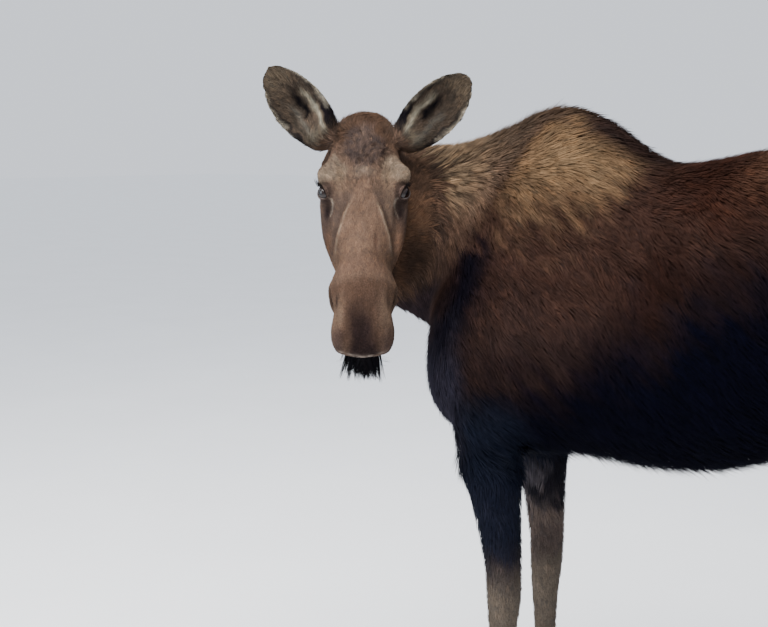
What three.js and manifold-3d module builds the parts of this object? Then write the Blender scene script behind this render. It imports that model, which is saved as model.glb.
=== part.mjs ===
// A cow moose in winter coat, standing, with her head turned back over her left shoulder.
// Life size, in millimetres, +Z up. She faces -X, her left side is towards -Y, and the hooves stand on Z = 0.
// The solids are the outer form of the coat. The flesh is modelled whole and then parted by thin cuts.
import * as THREE from "three";
import { mergeVertices } from "three/addons/utils/BufferGeometryUtils.js";
import Module from "manifold-3d";

const wasm = await Module();
wasm.setup();

// ---------------------------------------------------------------- driving dimensions
const HUMP_HEIGHT = 1829; // top of the shoulder hump, over the coat
const BELLY_HEIGHT = 900; // lowest point of the belly fringe
const RUMP_X = 1140; // back of the buttocks, measured from the hump
const BREAST_X = -388; // front of the breast
const HEAD_LENGTH = 672; // poll to the end of the upper lip
const HEAD_DROP = THREE.MathUtils.degToRad(59); // how far the face points below the level
const HEAD_TURN = new THREE.Vector3(0.584, -0.812, 0).normalize(); // where the face looks, in plan
const POLL = new THREE.Vector3(-477, -262, 1800); // top of the skull, between the ears
const EYE_RADIUS = 20;
const CORONET = 72; // where hair ends and hoof begins
const TOE_LENGTH = 140;
const TOE_WIDTH = 54;
const FORE_SPREAD = 170; // from the middle of the body to the middle of a foreleg
const HIND_SPREAD = 158;
const CUT = 0.4; // thickness of the cuts that part the body
const CLEARANCE = 0.4; // gap between a set-in piece and its socket
const FAR = 4000; // longer than the animal, for trimming blocks

// ---------------------------------------------------------------- shaping helpers
const Y = new THREE.Vector3(0, 1, 0);
const Z = new THREE.Vector3(0, 0, 1);
const { cos, sin, abs, sign, pow, sqrt, exp, min, max, PI } = Math;

// Smooth values between the rows of a table: each column is a monotone cubic of the first one.
function between(names, rows) {
  const columns = names.slice(1).map((name, k) => [name, monotone(rows.map((r) => r[0]), rows.map((r) => r[k + 1]))]);
  return (at) => Object.fromEntries(columns.map(([name, f]) => [name, f(at)]));
}

function monotone(x, y) {
  const n = x.length;
  const slope = x.slice(1).map((xk, k) => (y[k + 1] - y[k]) / (xk - x[k]));
  const tangent = x.map((_, k) => {
    if (k === 0) return slope[0];
    if (k === n - 1) return slope[n - 2];
    if (slope[k - 1] * slope[k] <= 0) return 0;
    return (2 * slope[k - 1] * slope[k]) / (slope[k - 1] + slope[k]);
  });
  return (at) => {
    const p = min(max(at, x[0]), x[n - 1]);
    let k = 0;
    while (k < n - 2 && p > x[k + 1]) k++;
    const w = x[k + 1] - x[k];
    const t = (p - x[k]) / w;
    const a = y[k] * (1 + 2 * t) + tangent[k] * w * t;
    const b = y[k + 1] * (3 - 2 * t) + tangent[k + 1] * w * (t - 1);
    return a * (1 - t) * (1 - t) + b * t * t;
  };
}

// Rounds an end: 0 at the pole, 1 from `reach` on. A higher power makes a squarer end.
const rounding = (distance, reach, power = 2) => {
  const t = min(max(distance / reach, 0), 1);
  return pow(1 - pow(1 - t, power), 1 / power);
};

// Rings crowd a little towards both ends.
const crowded = (t, share = 0.4) => t * (1 - share) + (share * (1 - cos(PI * t))) / 2;

const bell = (distance, width) => exp(-((distance / width) ** 2));

// One outline round a section: `half` to each side, from `bottom` to `top`, widest at `wide`.
function section({ top, bottom, wide, half, crest, keel }, angle) {
  const c = cos(angle);
  const s = sin(angle);
  const power = s >= 0 ? crest : keel;
  const side = half * sign(c) * pow(abs(c), 2 / power);
  const up = s >= 0 ? (top - wide) * pow(s, 2 / power) : -(wide - bottom) * pow(-s, 2 / power);
  return { side, up: wide + up };
}

// A closed body: a sphere whose rows and columns are moved to where pointAt(along, angle) says.
function formed(columns, rows, pointAt) {
  const sphere = new THREE.SphereGeometry(1, columns, rows);
  const { position, uv } = sphere.attributes;
  for (let i = 0; i < position.count; i++) {
    const along = 1 - uv.getY(i);
    const column = along === 0 || along === 1 ? 0 : Math.round(uv.getX(i) * columns) % columns;
    const p = pointAt(along, (2 * PI * column) / columns);
    position.setXYZ(i, p.x, p.y, p.z);
  }
  return solid(sphere);
}

function solid(geometry) {
  const bare = geometry.index ? geometry.toNonIndexed() : geometry.clone();
  bare.deleteAttribute("normal");
  bare.deleteAttribute("uv");
  const merged = mergeVertices(bare, 1e-3);
  const corners = Array.from(merged.index.array);
  const faces = [];
  for (let i = 0; i < corners.length; i += 3) {
    const [a, b, c] = corners.slice(i, i + 3);
    if (a !== b && b !== c && c !== a) faces.push([a, b, c]);
  }
  const make = (order) =>
    new wasm.Manifold(
      new wasm.Mesh({
        numProp: 3,
        vertProperties: new Float32Array(merged.attributes.position.array),
        triVerts: new Uint32Array(faces.flatMap(order)),
      }),
    );
  const made = make((f) => f);
  return made.volume() > 0 ? made : make(([a, b, c]) => [a, c, b]);
}

// A block standing on the plane at `foot`, square across `normal`, `width` each way and `length` deep.
function blockOn(foot, normal, width, length, grow = 0) {
  const out = normal.clone().normalize();
  const across = abs(out.z) > 0.99 ? new THREE.Vector3(0, 1, 0) : Z.clone().cross(out).normalize();
  const box = new THREE.BoxGeometry(width + 2 * grow, width + 2 * grow, length + 2 * grow);
  box.applyMatrix4(new THREE.Matrix4().makeBasis(across, out.clone().cross(across), out));
  box.translate(...foot.clone().addScaledVector(out, length / 2));
  return solid(box);
}

// An egg shape: its middle, the directions of its axes and its three radii.
function egg(middle, axes, radii, grow = 0) {
  return formed(12, 8, (along, angle) => {
    const t = PI * along;
    const unit = [-cos(t), sin(t) * cos(angle), sin(t) * sin(angle)];
    return unit.reduce((p, value, k) => p.addScaledVector(axes[k], value * (radii[k] + grow)), middle.clone());
  });
}

// Parts a body: first what lies in the region, then the rest of it, with a hairline gap between.
const parted = (from, region) => [from.intersect(region(0)), from.subtract(region(CUT))];

// ---------------------------------------------------------------- trunk
// A deep, narrow barrel under a tall hump. Sections stand across the body.
const trunkForm = between(
  ["x", "top", "bottom", "wide", "half", "crest", "keel"],
  [
    [BREAST_X, 1400, 985, 1110, 178, 2.0, 2.1],
    [-300, 1590, 915, 1130, 205, 1.8, 2.1],
    [-200, 1745, 893, 1160, 222, 1.6, 2.1],
    [-110, 1815, 885, 1190, 234, 1.5, 2.2],
    [-20, HUMP_HEIGHT, 892, 1200, 244, 1.45, 2.2],
    [64, 1807, 908, 1200, 250, 1.45, 2.2],
    [148, 1765, 905, 1200, 256, 1.5, 2.2],
    [231, 1698, BELLY_HEIGHT + 2, 1205, 264, 1.65, 2.2],
    [275, 1670, BELLY_HEIGHT, 1210, 268, 1.8, 2.2],
    [330, 1672, BELLY_HEIGHT + 4, 1215, 273, 1.95, 2.2],
    [420, 1690, 917, 1220, 280, 2.05, 2.2],
    [513, 1707, 944, 1230, 280, 2.1, 2.2],
    [600, 1716, 978, 1245, 272, 2.1, 2.1],
    [700, 1716, 1010, 1265, 260, 2.1, 2.0],
    [800, 1704, 1025, 1275, 250, 2.05, 2.0],
    [900, 1676, 1030, 1280, 240, 2.0, 2.0],
    [1000, 1630, 1035, 1280, 222, 1.95, 2.0],
    [1080, 1580, 1045, 1275, 200, 1.9, 2.0],
    [RUMP_X, 1530, 1060, 1270, 180, 1.9, 2.0],
  ],
);
const trunkMuscles = [
  { name: "shoulder", x: -60, z: 1270, out: 20, long: 170, tall: 260 },
  { name: "upper arm", x: -150, z: 1090, out: 14, long: 110, tall: 130 },
  { name: "haunch", x: 850, z: 1260, out: 22, long: 190, tall: 220 },
  { name: "hip bone", x: 690, z: 1560, out: 16, long: 110, tall: 90 },
  { name: "flank hollow", x: 620, z: 1400, out: -12, long: 90, tall: 130 },
];

function trunkPoint(along, angle) {
  const x = BREAST_X + (RUMP_X - BREAST_X) * crowded(along, 0.35);
  const form = trunkForm(x);
  const { side, up } = section(form, angle);
  const end = rounding(x - BREAST_X, 180, 2.5) * rounding(RUMP_X - x, 190, 2.4);
  const middle = x < 0 ? 1085 : 1300;
  const z = middle + (up - middle) * end;
  const swell = trunkMuscles.reduce((sum, m) => sum + m.out * bell(x - m.x, m.long) * bell(z - m.z, m.tall), 0);
  const rim = abs(side) / form.half;
  return new THREE.Vector3(x, (side + sign(side) * swell * rim) * end, z);
}
const trunk = formed(24, 22, trunkPoint);

// ---------------------------------------------------------------- neck
// Short and deep. It leaves the chest forwards and curls round to the left, up to the skull.
const neckLine = new THREE.CatmullRomCurve3(
  [
    new THREE.Vector3(90, 0, 1400),
    new THREE.Vector3(-90, 0, 1430),
    new THREE.Vector3(-250, 0, 1455),
    new THREE.Vector3(-385, -32, 1485),
    new THREE.Vector3(-470, -115, 1515),
    new THREE.Vector3(-503, -218, 1540),
    new THREE.Vector3(-478, -312, 1550),
  ],
  false,
  "centripetal",
);
const neckForm = between(
  ["along", "top", "bottom", "half", "crest", "keel"],
  [
    [0.0, 1760, 1130, 120, 1.6, 1.8],
    [0.2, 1800, 1080, 165, 1.55, 1.8],
    [0.4, 1758, 1090, 180, 1.6, 1.7],
    [0.58, 1724, 1185, 160, 1.7, 1.65],
    [0.75, 1726, 1262, 138, 1.9, 1.65],
    [0.88, 1742, 1306, 124, 2.2, 1.7],
    [1.0, 1740, 1350, 104, 2.2, 1.8],
  ],
);

function neckPoint(along, angle) {
  const t = crowded(along, 0.25);
  const spine = neckLine.getPointAt(t);
  const heading = neckLine.getTangentAt(t).setZ(0).normalize();
  const across = Z.clone().cross(heading);
  const form = { ...neckForm(t), wide: spine.z - 20 };
  const end = rounding(t, 0.15) * rounding(1 - t, 0.12);
  const { side, up } = section(form, angle);
  const middle = spine.z;
  return new THREE.Vector3(spine.x, spine.y, middle + (up - middle) * end).addScaledVector(across, side * end);
}
const neck = formed(20, 13, neckPoint);

// ---------------------------------------------------------------- head
// Its own axes: u runs from the poll down the face to the lip, v to the animal's left, h out of the forehead.
const faceDown = HEAD_TURN.clone().multiplyScalar(cos(HEAD_DROP)).addScaledVector(Z, -sin(HEAD_DROP));
const faceOut = HEAD_TURN.clone().multiplyScalar(sin(HEAD_DROP)).addScaledVector(Z, cos(HEAD_DROP));
const faceLeft = Z.clone().cross(HEAD_TURN).normalize();
const onHead = (u, v, h) =>
  POLL.clone().addScaledVector(faceDown, u).addScaledVector(faceLeft, v).addScaledVector(faceOut, h);

const SKULL_BACK = -45;
const headForm = between(
  ["u", "top", "bottom", "wide", "half", "crest", "keel"],
  [
    [SKULL_BACK, -60, -150, -85, 66, 2.2, 2.0],
    [0, -4, -175, -88, 84, 2.8, 2.0],
    [60, 12, -200, -92, 95, 2.8, 2.0],
    [120, 18, -222, -96, 104, 2.9, 2.0],
    [170, 14, -235, -98, 109, 3.1, 2.0],
    [225, 5, -234, -98, 110, 3.2, 2.0],
    [283, 2, -214, -98, 108, 2.7, 2.0],
    [340, 6, -188, -97, 100, 2.2, 2.1],
    [385, 12, -168, -95, 88, 2.0, 2.2],
    [432, 19, -152, -88, 71, 2.0, 2.4],
    [474, 22, -142, -78, 74, 2.2, 2.6],
    [510, 20, -134, -70, 75, 2.4, 2.8],
    [556, 10, -126, -62, 72, 2.6, 3.0],
    [595, -4, -119, -62, 78, 2.6, 3.0],
    [637, -22, -112, -66, 77, 2.5, 3.0],
    [HEAD_LENGTH, -40, -106, -68, 74, 2.3, 2.8],
  ],
);
// Bony and fleshy forms of the sides of the face, pushed outwards (or in, where negative).
const headFeatures = [
  { name: "brow", u: 174, h: -18, out: 21, long: 28, tall: 24 },
  { name: "orbit", u: 232, h: -34, out: 9, long: 34, tall: 26 },
  { name: "cheek bone", u: 290, h: -80, out: 5, long: 50, tall: 24 },
  { name: "temple", u: 100, h: -50, out: -10, long: 45, tall: 30 },
  { name: "below the ear", u: 92, h: -135, out: 30, long: 48, tall: 42 },
  { name: "cheek muscle", u: 215, h: -165, out: 10, long: 80, tall: 55 },
  { name: "under the eye", u: 290, h: -26, out: -8, long: 30, tall: 20 },
  { name: "nostril wing", u: 492, h: -54, out: 18, long: 34, tall: 34 },
];

function headPoint(along, angle) {
  const u = SKULL_BACK + (HEAD_LENGTH - SKULL_BACK) * crowded(along, 0.3);
  const form = headForm(u);
  const { side, up } = section(form, angle);
  const end = rounding(u - SKULL_BACK, 60, 2.3) * rounding(HEAD_LENGTH - u, 45, 2.3);
  const middle = u < 200 ? -90 : -68;
  const h = middle + (up - middle) * end;
  const swell = headFeatures.reduce((sum, f) => sum + f.out * bell(u - f.u, f.long) * bell(h - f.h, f.tall), 0);
  const rim = min(1, (1.6 * abs(side)) / form.half);
  return onHead(u, (side + sign(side) * swell * rim) * end, h);
}
const skull = formed(24, 25, headPoint);

// The lower jaw, set well back under the overhanging lip.
const JAW_BACK = 40;
const JAW_FRONT = 646;
const jawForm = between(
  ["u", "top", "bottom", "half"],
  [
    [JAW_BACK, -120, -220, 55],
    [120, -130, -255, 68],
    [180, -130, -272, 72],
    [260, -120, -262, 68],
    [340, -110, -236, 57],
    [430, -105, -206, 46],
    [500, -95, -182, 42],
    [555, -88, -170, 45],
    [605, -85, -164, 50],
    [JAW_FRONT, -85, -150, 46],
  ],
);

function jawPoint(along, angle) {
  const u = JAW_BACK + (JAW_FRONT - JAW_BACK) * crowded(along, 0.3);
  const { top, bottom, half } = jawForm(u);
  const middle = u > 500 ? -126 : (top + bottom) / 2;
  const { side, up } = section({ top, bottom, wide: (top + bottom) / 2, half, crest: 2.4, keel: 2.3 }, angle);
  const end = rounding(u - JAW_BACK, 80) * rounding(JAW_FRONT - u, 52, 2.3);
  return onHead(u, side * end, middle + (up - middle) * end);
}
const jaw = formed(14, 12, jawPoint);

// Comma-shaped nostrils on the sides of the muzzle.
const NOSTRIL = { u: 522, v: 76, h: -54, long: 36, high: 13, deep: 20, slant: 0.5 };
function nostril(side) {
  return formed(8, 6, (along, angle) => {
    const t = PI * along;
    const du = cos(t) * NOSTRIL.long;
    const dh = sin(t) * cos(angle) * NOSTRIL.high + du * NOSTRIL.slant * -0.6;
    const dv = sin(t) * sin(angle) * NOSTRIL.deep;
    return onHead(NOSTRIL.u - du, side * (NOSTRIL.v + dv), NOSTRIL.h - dh);
  });
}

const EYE = { u: 228, v: 98, h: -30 };
const eyeBall = (side, grow) =>
  egg(onHead(EYE.u, side * EYE.v, EYE.h), [faceLeft, faceDown, faceOut], [EYE_RADIUS, EYE_RADIUS, EYE_RADIUS], grow);

// ---------------------------------------------------------------- ears
// A long cupped leaf on a short tube. The front half of each ring is the inside of the cup.
const EAR_ROOT = { u: 84, v: 84, h: -48 };
const ears = [
  { name: "left_ear", side: 1, tip: { u: -73, v: 282, h: 63 } },
  { name: "right_ear", side: -1, tip: { u: -91, v: 259, h: 77 } },
];
const earForm = between(
  ["along", "half", "cup", "hollow", "wall"],
  [
    [0.0, 30, 30, 0.0, 14],
    [0.14, 44, 35, 0.0, 14],
    [0.26, 59, 39, 0.4, 12],
    [0.38, 68, 40, 1.0, 10],
    [0.52, 71, 38, 1.0, 9],
    [0.66, 67, 31, 1.0, 8],
    [0.79, 54, 22, 1.0, 7],
    [0.9, 37, 14, 1.0, 7],
    [0.97, 20, 8, 1.0, 6],
    [1.0, 14, 7, 1.0, 6],
  ],
);

function earAxes({ side, tip }) {
  const root = onHead(EAR_ROOT.u, side * EAR_ROOT.v, EAR_ROOT.h);
  const stem = onHead(tip.u, tip.v * side, tip.h).sub(root);
  const length = stem.length();
  stem.normalize();
  const facing = HEAD_TURN.clone().addScaledVector(faceLeft, side * 0.28);
  facing.addScaledVector(stem, -facing.dot(stem)).normalize();
  return { root, stem, length, facing, across: stem.clone().cross(facing) };
}

function roundEar(ear, grow) {
  const { root, stem, length, facing, across } = earAxes(ear);
  return egg(root.addScaledVector(stem, 0.58 * length), [stem, across, facing], [150, 96, 74], grow);
}

// the lower edge of the ear swells into a lobe, fuller on the right ear, which is turned further out
const LOBES = { 1: 0.05, [-1]: 0.22 };
function earSolid(ear) {
  const { root, stem, length, facing, across } = earAxes(ear);
  const { side } = ear;
  return formed(16, 12, (along, angle) => {
    const t = crowded(along, 0.3);
    const { half, cup, hollow, wall } = earForm(t);
    const inside = sin(angle) < 0;
    const wide = inside ? half - wall * 0.45 * hollow : half;
    const depth = inside ? hollow * (cup - wall) - (1 - hollow) * cup : cup;
    const end = rounding(t, 0.05) * rounding(1 - t, 0.05);
    const curl = 14 * sin(PI * t) - 8 * t;
    const lobe = 1 + (cos(angle) * side < 0 ? LOBES[side] * bell(t, 0.4, 0.3) : 0);
    return root
      .clone()
      .addScaledVector(stem, length * t)
      .addScaledVector(across, wide * cos(angle) * end * lobe)
      .addScaledVector(facing, curl - depth * abs(sin(angle)) * end);
  });
}

// ---------------------------------------------------------------- bell and tail
// The bell is a short fold of skin with long hair, hanging from the throat behind the chin.
const BELL_TOP = 1410;
const BELL_TIP = 1095;
const BELL_PLACE = new THREE.Vector3(-477, -271, 0); // straight below the throat
function bellPoint(along, angle) {
  const t = crowded(along, 0.6);
  const z = BELL_TOP + (BELL_TIP - BELL_TOP) * t;
  const wide = 49 * rounding(t, 0.2) * rounding(1 - t, 0.14);
  return new THREE.Vector3(BELL_PLACE.x, BELL_PLACE.y, z)
    .addScaledVector(faceLeft, wide * cos(angle))
    .addScaledVector(HEAD_TURN, 0.7 * wide * sin(angle));
}
const dewlap = formed(12, 9, bellPoint);

const tailLine = new THREE.CatmullRomCurve3([
  new THREE.Vector3(1040, 0, 1575),
  new THREE.Vector3(1100, 0, 1548),
  new THREE.Vector3(1143, 0, 1508),
  new THREE.Vector3(1166, 0, 1455),
  new THREE.Vector3(1172, 0, 1405),
]);
function tailPoint(along, angle) {
  const p = tailLine.getPointAt(along);
  const t = tailLine.getTangentAt(along);
  const out = new THREE.Vector3(-t.z, 0, t.x).normalize();
  const end = rounding(along, 0.2) * rounding(1 - along, 0.45);
  return p.addScaledVector(Y, 34 * end * cos(angle)).addScaledVector(out, 20 * end * sin(angle));
}
const tailBody = formed(10, 8, tailPoint);

// ---------------------------------------------------------------- legs
// Sections lie level. `x` is the middle, `long` the half depth fore and aft, `wide` the half width.
const foreleg = between(
  ["drop", "x", "long", "wide", "inset"],
  [
    [-1430, -20, 110, 60, 45],
    [-1300, -40, 150, 84, 32],
    [-1150, -92, 146, 88, 16],
    [-1050, -126, 120, 82, 5],
    [-960, -138, 98, 74, 0],
    [-870, -127, 88, 67, 0],
    [-770, -114, 73, 59, 3],
    [-690, -103, 62, 53, 6],
    [-610, -94, 53, 49, 9],
    [-555, -91, 49, 50, 11],
    [-505, -92, 46, 50, 12],
    [-450, -95, 41, 43, 12],
    [-390, -94, 36, 36, 12],
    [-300, -91, 33, 31, 12],
    [-210, -90, 34, 32, 12],
    [-150, -92, 43, 42, 12],
    [-110, -102, 41, 46, 12],
    [-60, -120, 47, 52, 12],
  ],
);
const hindleg = between(
  ["drop", "x", "long", "wide", "inset"],
  [
    [-1430, 890, 150, 60, 50],
    [-1300, 884, 215, 92, 36],
    [-1180, 880, 222, 104, 20],
    [-1070, 876, 192, 100, 8],
    [-970, 884, 148, 88, 2],
    [-880, 908, 112, 74, 2],
    [-790, 942, 89, 61, 6],
    [-715, 968, 77, 53, 11],
    [-650, 985, 67, 50, 15],
    [-590, 989, 57, 48, 17],
    [-530, 981, 46, 43, 17],
    [-450, 970, 38, 36, 17],
    [-340, 957, 35, 32, 17],
    [-230, 944, 35, 33, 17],
    [-160, 934, 45, 42, 17],
    [-115, 922, 42, 46, 17],
    [-60, 905, 48, 52, 17],
  ],
);
const legs = [
  { name: "left_foreleg", form: foreleg, side: -1, spread: FORE_SPREAD, step: 0, top: 1430, part: 880 },
  { name: "right_foreleg", form: foreleg, side: 1, spread: FORE_SPREAD, step: -43, top: 1430, part: 880 },
  { name: "left_hindleg", form: hindleg, side: -1, spread: HIND_SPREAD, step: 25, top: 1430, part: 958 },
  { name: "right_hindleg", form: hindleg, side: 1, spread: HIND_SPREAD, step: -75, top: 1430, part: 958 },
];

// The upper leg stays with the body, so a step only shifts what is below it.
const stepAt = (leg, z) => leg.step * rounding(leg.top - z, leg.top - 700, 1.6);

const LEG_ROWS = 18;
function legSolid(leg) {
  return formed(12, LEG_ROWS, (along, angle) => {
    const level = min((along * LEG_ROWS) / (LEG_ROWS - 1), 1);
    const z = leg.top - (leg.top - 66) * (level * 0.84 + 0.16 * level * level) - (along === 1 ? 12 : 0);
    const { x, long, wide, inset } = leg.form(-z);
    const end = along === 1 ? 0 : rounding(along, 0.1);
    const middle = leg.side * (leg.spread - inset);
    return new THREE.Vector3(x + stepAt(leg, z) + long * end * cos(angle), middle + wide * end * sin(angle), z);
  });
}

// Two long toes, each with a flat sole, and two small dewclaws behind the pastern.
function toe(leg, inner) {
  const { x, inset } = leg.form(-CORONET);
  const middle = leg.side * (leg.spread - inset) + inner * (TOE_WIDTH / 2 + 2);
  const heel = x + leg.step + 44;
  return formed(14, 3, (along, angle) => {
    const upper = along > 0.5 ? 1 : 0;
    const radius = along === 0 || along === 1 ? 0 : 1;
    const length = TOE_LENGTH - 48 * upper;
    const c = cos(angle);
    const taper = 1 - (c < 0 ? 0.3 * c * c : 0.1 * c * c);
    const width = (TOE_WIDTH / 2 - 2 * upper) * taper;
    return new THREE.Vector3(
      heel - length / 2 + (length / 2) * sign(c) * pow(abs(c), 0.85) * radius,
      middle + width * sin(angle) * radius,
      (CORONET - CUT) * upper,
    );
  });
}

function dewclaw(leg, inner, grow = 0) {
  const { x, long, inset } = leg.form(-118);
  const middle = leg.side * (leg.spread - inset) + inner * 25;
  const centre = new THREE.Vector3(x + leg.step + long + 1, middle, 100);
  return formed(6, 4, (along, angle) => {
    const t = PI * along;
    const ring = sin(t);
    return centre
      .clone()
      .add(new THREE.Vector3(-9 * cos(t), 0, (30 + grow) * cos(t)))
      .add(new THREE.Vector3((15 + grow) * ring * cos(angle), (15 + grow) * ring * sin(angle), 0));
  });
}

// ---------------------------------------------------------------- joining and parting
const dewclaws = legs.flatMap((leg) =>
  [-1, 1].map((inner) => ({ leg, inner, name: `${leg.name}_dewclaw_${inner * leg.side > 0 ? "outer" : "inner"}` })),
);
let body = [neck, skull, jaw, dewlap, tailBody, ...ears.map(earSolid), ...legs.map(legSolid)].reduce(
  (sum, piece) => sum.add(piece),
  trunk,
);
body = body.subtract(blockOn(new THREE.Vector3(0, 0, CORONET), new THREE.Vector3(0, 0, -1), FAR, FAR));
for (const side of [1, -1]) {
  body = body.subtract(nostril(side)).subtract(eyeBall(side, CLEARANCE));
}
for (const { leg, inner } of dewclaws) {
  body = body.subtract(dewclaw(leg, inner, CLEARANCE));
}

const pieces = {};
for (const ear of ears) {
  [pieces[ear.name], body] = parted(body, (grow) => roundEar(ear, grow));
}
const throat = new THREE.Vector3(BELL_PLACE.x, BELL_PLACE.y, 1288);
[pieces.bell, body] = parted(body, (grow) => blockOn(throat, new THREE.Vector3(0, 0, -1), 112, 220, grow));

// The head is parted from the neck by a plane behind the ears and jaw, within an egg shape round the head.
const nape = onHead(60, 20, -165);
const pastNape = faceDown.clone().multiplyScalar(0.5).addScaledVector(faceOut, 0.66).addScaledVector(faceLeft, -0.5);
const roundHead = (grow) => egg(onHead(300, 0, -115), [faceDown, faceLeft, faceOut], [450, 185, 205], grow);
[pieces.head, body] = parted(body, (grow) => roundHead(grow).intersect(blockOn(nape, pastNape, 1400, 900, grow)));
const gape = onHead(505, 0, -120);
const belowGape = faceOut.clone().negate().addScaledVector(faceDown, 0.1);
[pieces.lower_jaw, pieces.head] = parted(pieces.head, (grow) => blockOn(gape, belowGape, 330, 200, grow));
const shoulders = new THREE.Vector3(-262, 0, 1455);
const pastShoulders = new THREE.Vector3(-0.88, 0, 0.46);
[pieces.neck, body] = parted(body, (grow) => blockOn(shoulders, pastShoulders, 1100, 600, grow));
const dock = new THREE.Vector3(1095, 0, 1528);
[pieces.tail, body] = parted(body, (grow) => blockOn(dock, new THREE.Vector3(0.93, 0, 0.37), 300, 150, grow));
for (const leg of legs) {
  const middle = new THREE.Vector3(leg.form(-leg.part).x + leg.step, leg.side * 215, leg.part);
  [pieces[leg.name], body] = parted(body, (grow) => blockOn(middle, new THREE.Vector3(0, 0, -1), 420, 1000, grow));
}
pieces.trunk = body;

for (const leg of legs) {
  for (const inner of [-1, 1]) {
    const which = inner * leg.side > 0 ? "outer" : "inner";
    pieces[`${leg.name}_${which}_toe`] = toe(leg, inner);
    pieces[`${leg.name}_${which}_dewclaw`] = dewclaw(leg, inner);
  }
}
for (const [name, side] of [["left_eye", 1], ["right_eye", -1]]) {
  pieces[name] = eyeBall(side, 0);
}

// ---------------------------------------------------------------- the animal
const looks = {
  coat: new THREE.MeshStandardMaterial({ color: 0x3a2a1e, roughness: 0.95 }),
  face: new THREE.MeshStandardMaterial({ color: 0x6b5443, roughness: 0.9 }),
  shanks: new THREE.MeshStandardMaterial({ color: 0x7d6f60, roughness: 0.95 }),
  horn: new THREE.MeshStandardMaterial({ color: 0x1c1815, roughness: 0.5 }),
  eye: new THREE.MeshStandardMaterial({ color: 0x0a0706, roughness: 0.08 }),
};
const lookOf = (name) => {
  if (/eye/.test(name)) return looks.eye;
  if (/toe|claw/.test(name)) return looks.horn;
  if (/leg/.test(name)) return looks.shanks;
  if (/head|jaw/.test(name)) return looks.face;
  return looks.coat;
};

const moose = new THREE.Group();
for (const [name, piece] of Object.entries(pieces)) {
  const { numProp, vertProperties, triVerts } = piece.getMesh();
  const geometry = new THREE.BufferGeometry();
  geometry.setAttribute("position", new THREE.BufferAttribute(new Float32Array(vertProperties), numProp));
  geometry.setIndex(new THREE.BufferAttribute(new Uint32Array(triVerts), 1));
  geometry.computeVertexNormals();
  const mesh = new THREE.Mesh(geometry, lookOf(name).clone());
  mesh.name = name;
  moose.add(mesh);
}

// The origin is on the ground under the middle of the animal's bounding box.
const bounds = new THREE.Box3().setFromObject(moose, true);
const middle = bounds.getCenter(new THREE.Vector3());
moose.position.set(-middle.x, -middle.y, -bounds.min.z);

export default moose;
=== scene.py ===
import math

import bmesh
import bpy
import numpy as np
from mathutils import Matrix, Vector, kdtree
from mathutils.bvhtree import BVHTree


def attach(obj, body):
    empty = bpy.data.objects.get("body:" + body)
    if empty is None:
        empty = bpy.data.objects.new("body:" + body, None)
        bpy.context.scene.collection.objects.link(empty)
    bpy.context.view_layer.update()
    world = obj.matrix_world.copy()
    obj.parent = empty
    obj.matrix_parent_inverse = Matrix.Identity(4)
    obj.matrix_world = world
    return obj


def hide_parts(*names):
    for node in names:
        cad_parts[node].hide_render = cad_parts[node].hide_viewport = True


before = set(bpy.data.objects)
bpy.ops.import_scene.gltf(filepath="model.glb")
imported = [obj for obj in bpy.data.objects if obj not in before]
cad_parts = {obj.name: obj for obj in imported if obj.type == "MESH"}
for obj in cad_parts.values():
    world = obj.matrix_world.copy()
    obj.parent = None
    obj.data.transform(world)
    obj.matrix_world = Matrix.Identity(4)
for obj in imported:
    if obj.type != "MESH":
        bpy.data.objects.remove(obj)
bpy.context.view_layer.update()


# ---------------------------------------------------------------- the view
# The animal is seen from behind its left side, at eye height, about three metres off.
# A normal lens takes in the head, the hump and the forelegs down to the cannons.
HUMP_FOOT = np.array((-0.245582, 0.129206, 0.0))
VIEW_FROM = Vector(HUMP_FOOT + (1.45672, -2.83524, 1.70))
VIEW_TURN = math.radians(36)
VIEW_DIP = math.radians(7.75)
scene = bpy.context.scene
camera = bpy.data.objects.new("camera", bpy.data.cameras.new("camera"))
camera.data.lens = 56.25
camera.data.sensor_width = 36
camera.location = VIEW_FROM
aim = Vector((-math.sin(VIEW_TURN) * math.cos(VIEW_DIP), math.cos(VIEW_TURN) * math.cos(VIEW_DIP),
              -math.sin(VIEW_DIP)))
camera.rotation_euler = aim.to_track_quat("-Z", "Y").to_euler()
scene.collection.objects.link(camera)
scene.camera = camera


# ---------------------------------------------------------------- the light
# An even pale sky all round, a wide soft light high over the back, and a weaker one from the head's side.
# The underside of the body falls into its own shade.
sky = bpy.data.worlds.new("pale sky")
sky.use_nodes = True
sky.node_tree.nodes["Background"].inputs["Color"].default_value = (0.86, 0.91, 1.0, 1)
sky.node_tree.nodes["Background"].inputs["Strength"].default_value = 1.15
scene.world = sky


def soft_light(name, place, look_at, width, watts, colour):
    """A square lamp that faces look_at."""
    lamp = bpy.data.objects.new(name, bpy.data.lights.new(name, "AREA"))
    lamp.data.size = width
    lamp.data.energy = watts
    lamp.data.color = colour
    lamp.location = place
    lamp.rotation_euler = (Vector(look_at) - Vector(place)).to_track_quat("-Z", "Y").to_euler()
    scene.collection.objects.link(lamp)


soft_light("high light", (-0.6, -1.6, 5.2), (0, 0, 1.2), 4.5, 560, (1, 0.98, 0.95))
soft_light("side light", (-4.2, -4.6, 2.6), (-0.4, 0, 1.4), 3.0, 190, (0.95, 0.97, 1))


# ---------------------------------------------------------------- the floor
# A wide plain studio floor, pale and matt, for the animal to stand on. It isn't part of it.
# Its finish, like every other, is a list of steps. A wire carries a number or a colour from one to the next.
FLOOR_REACH = 60


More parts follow.
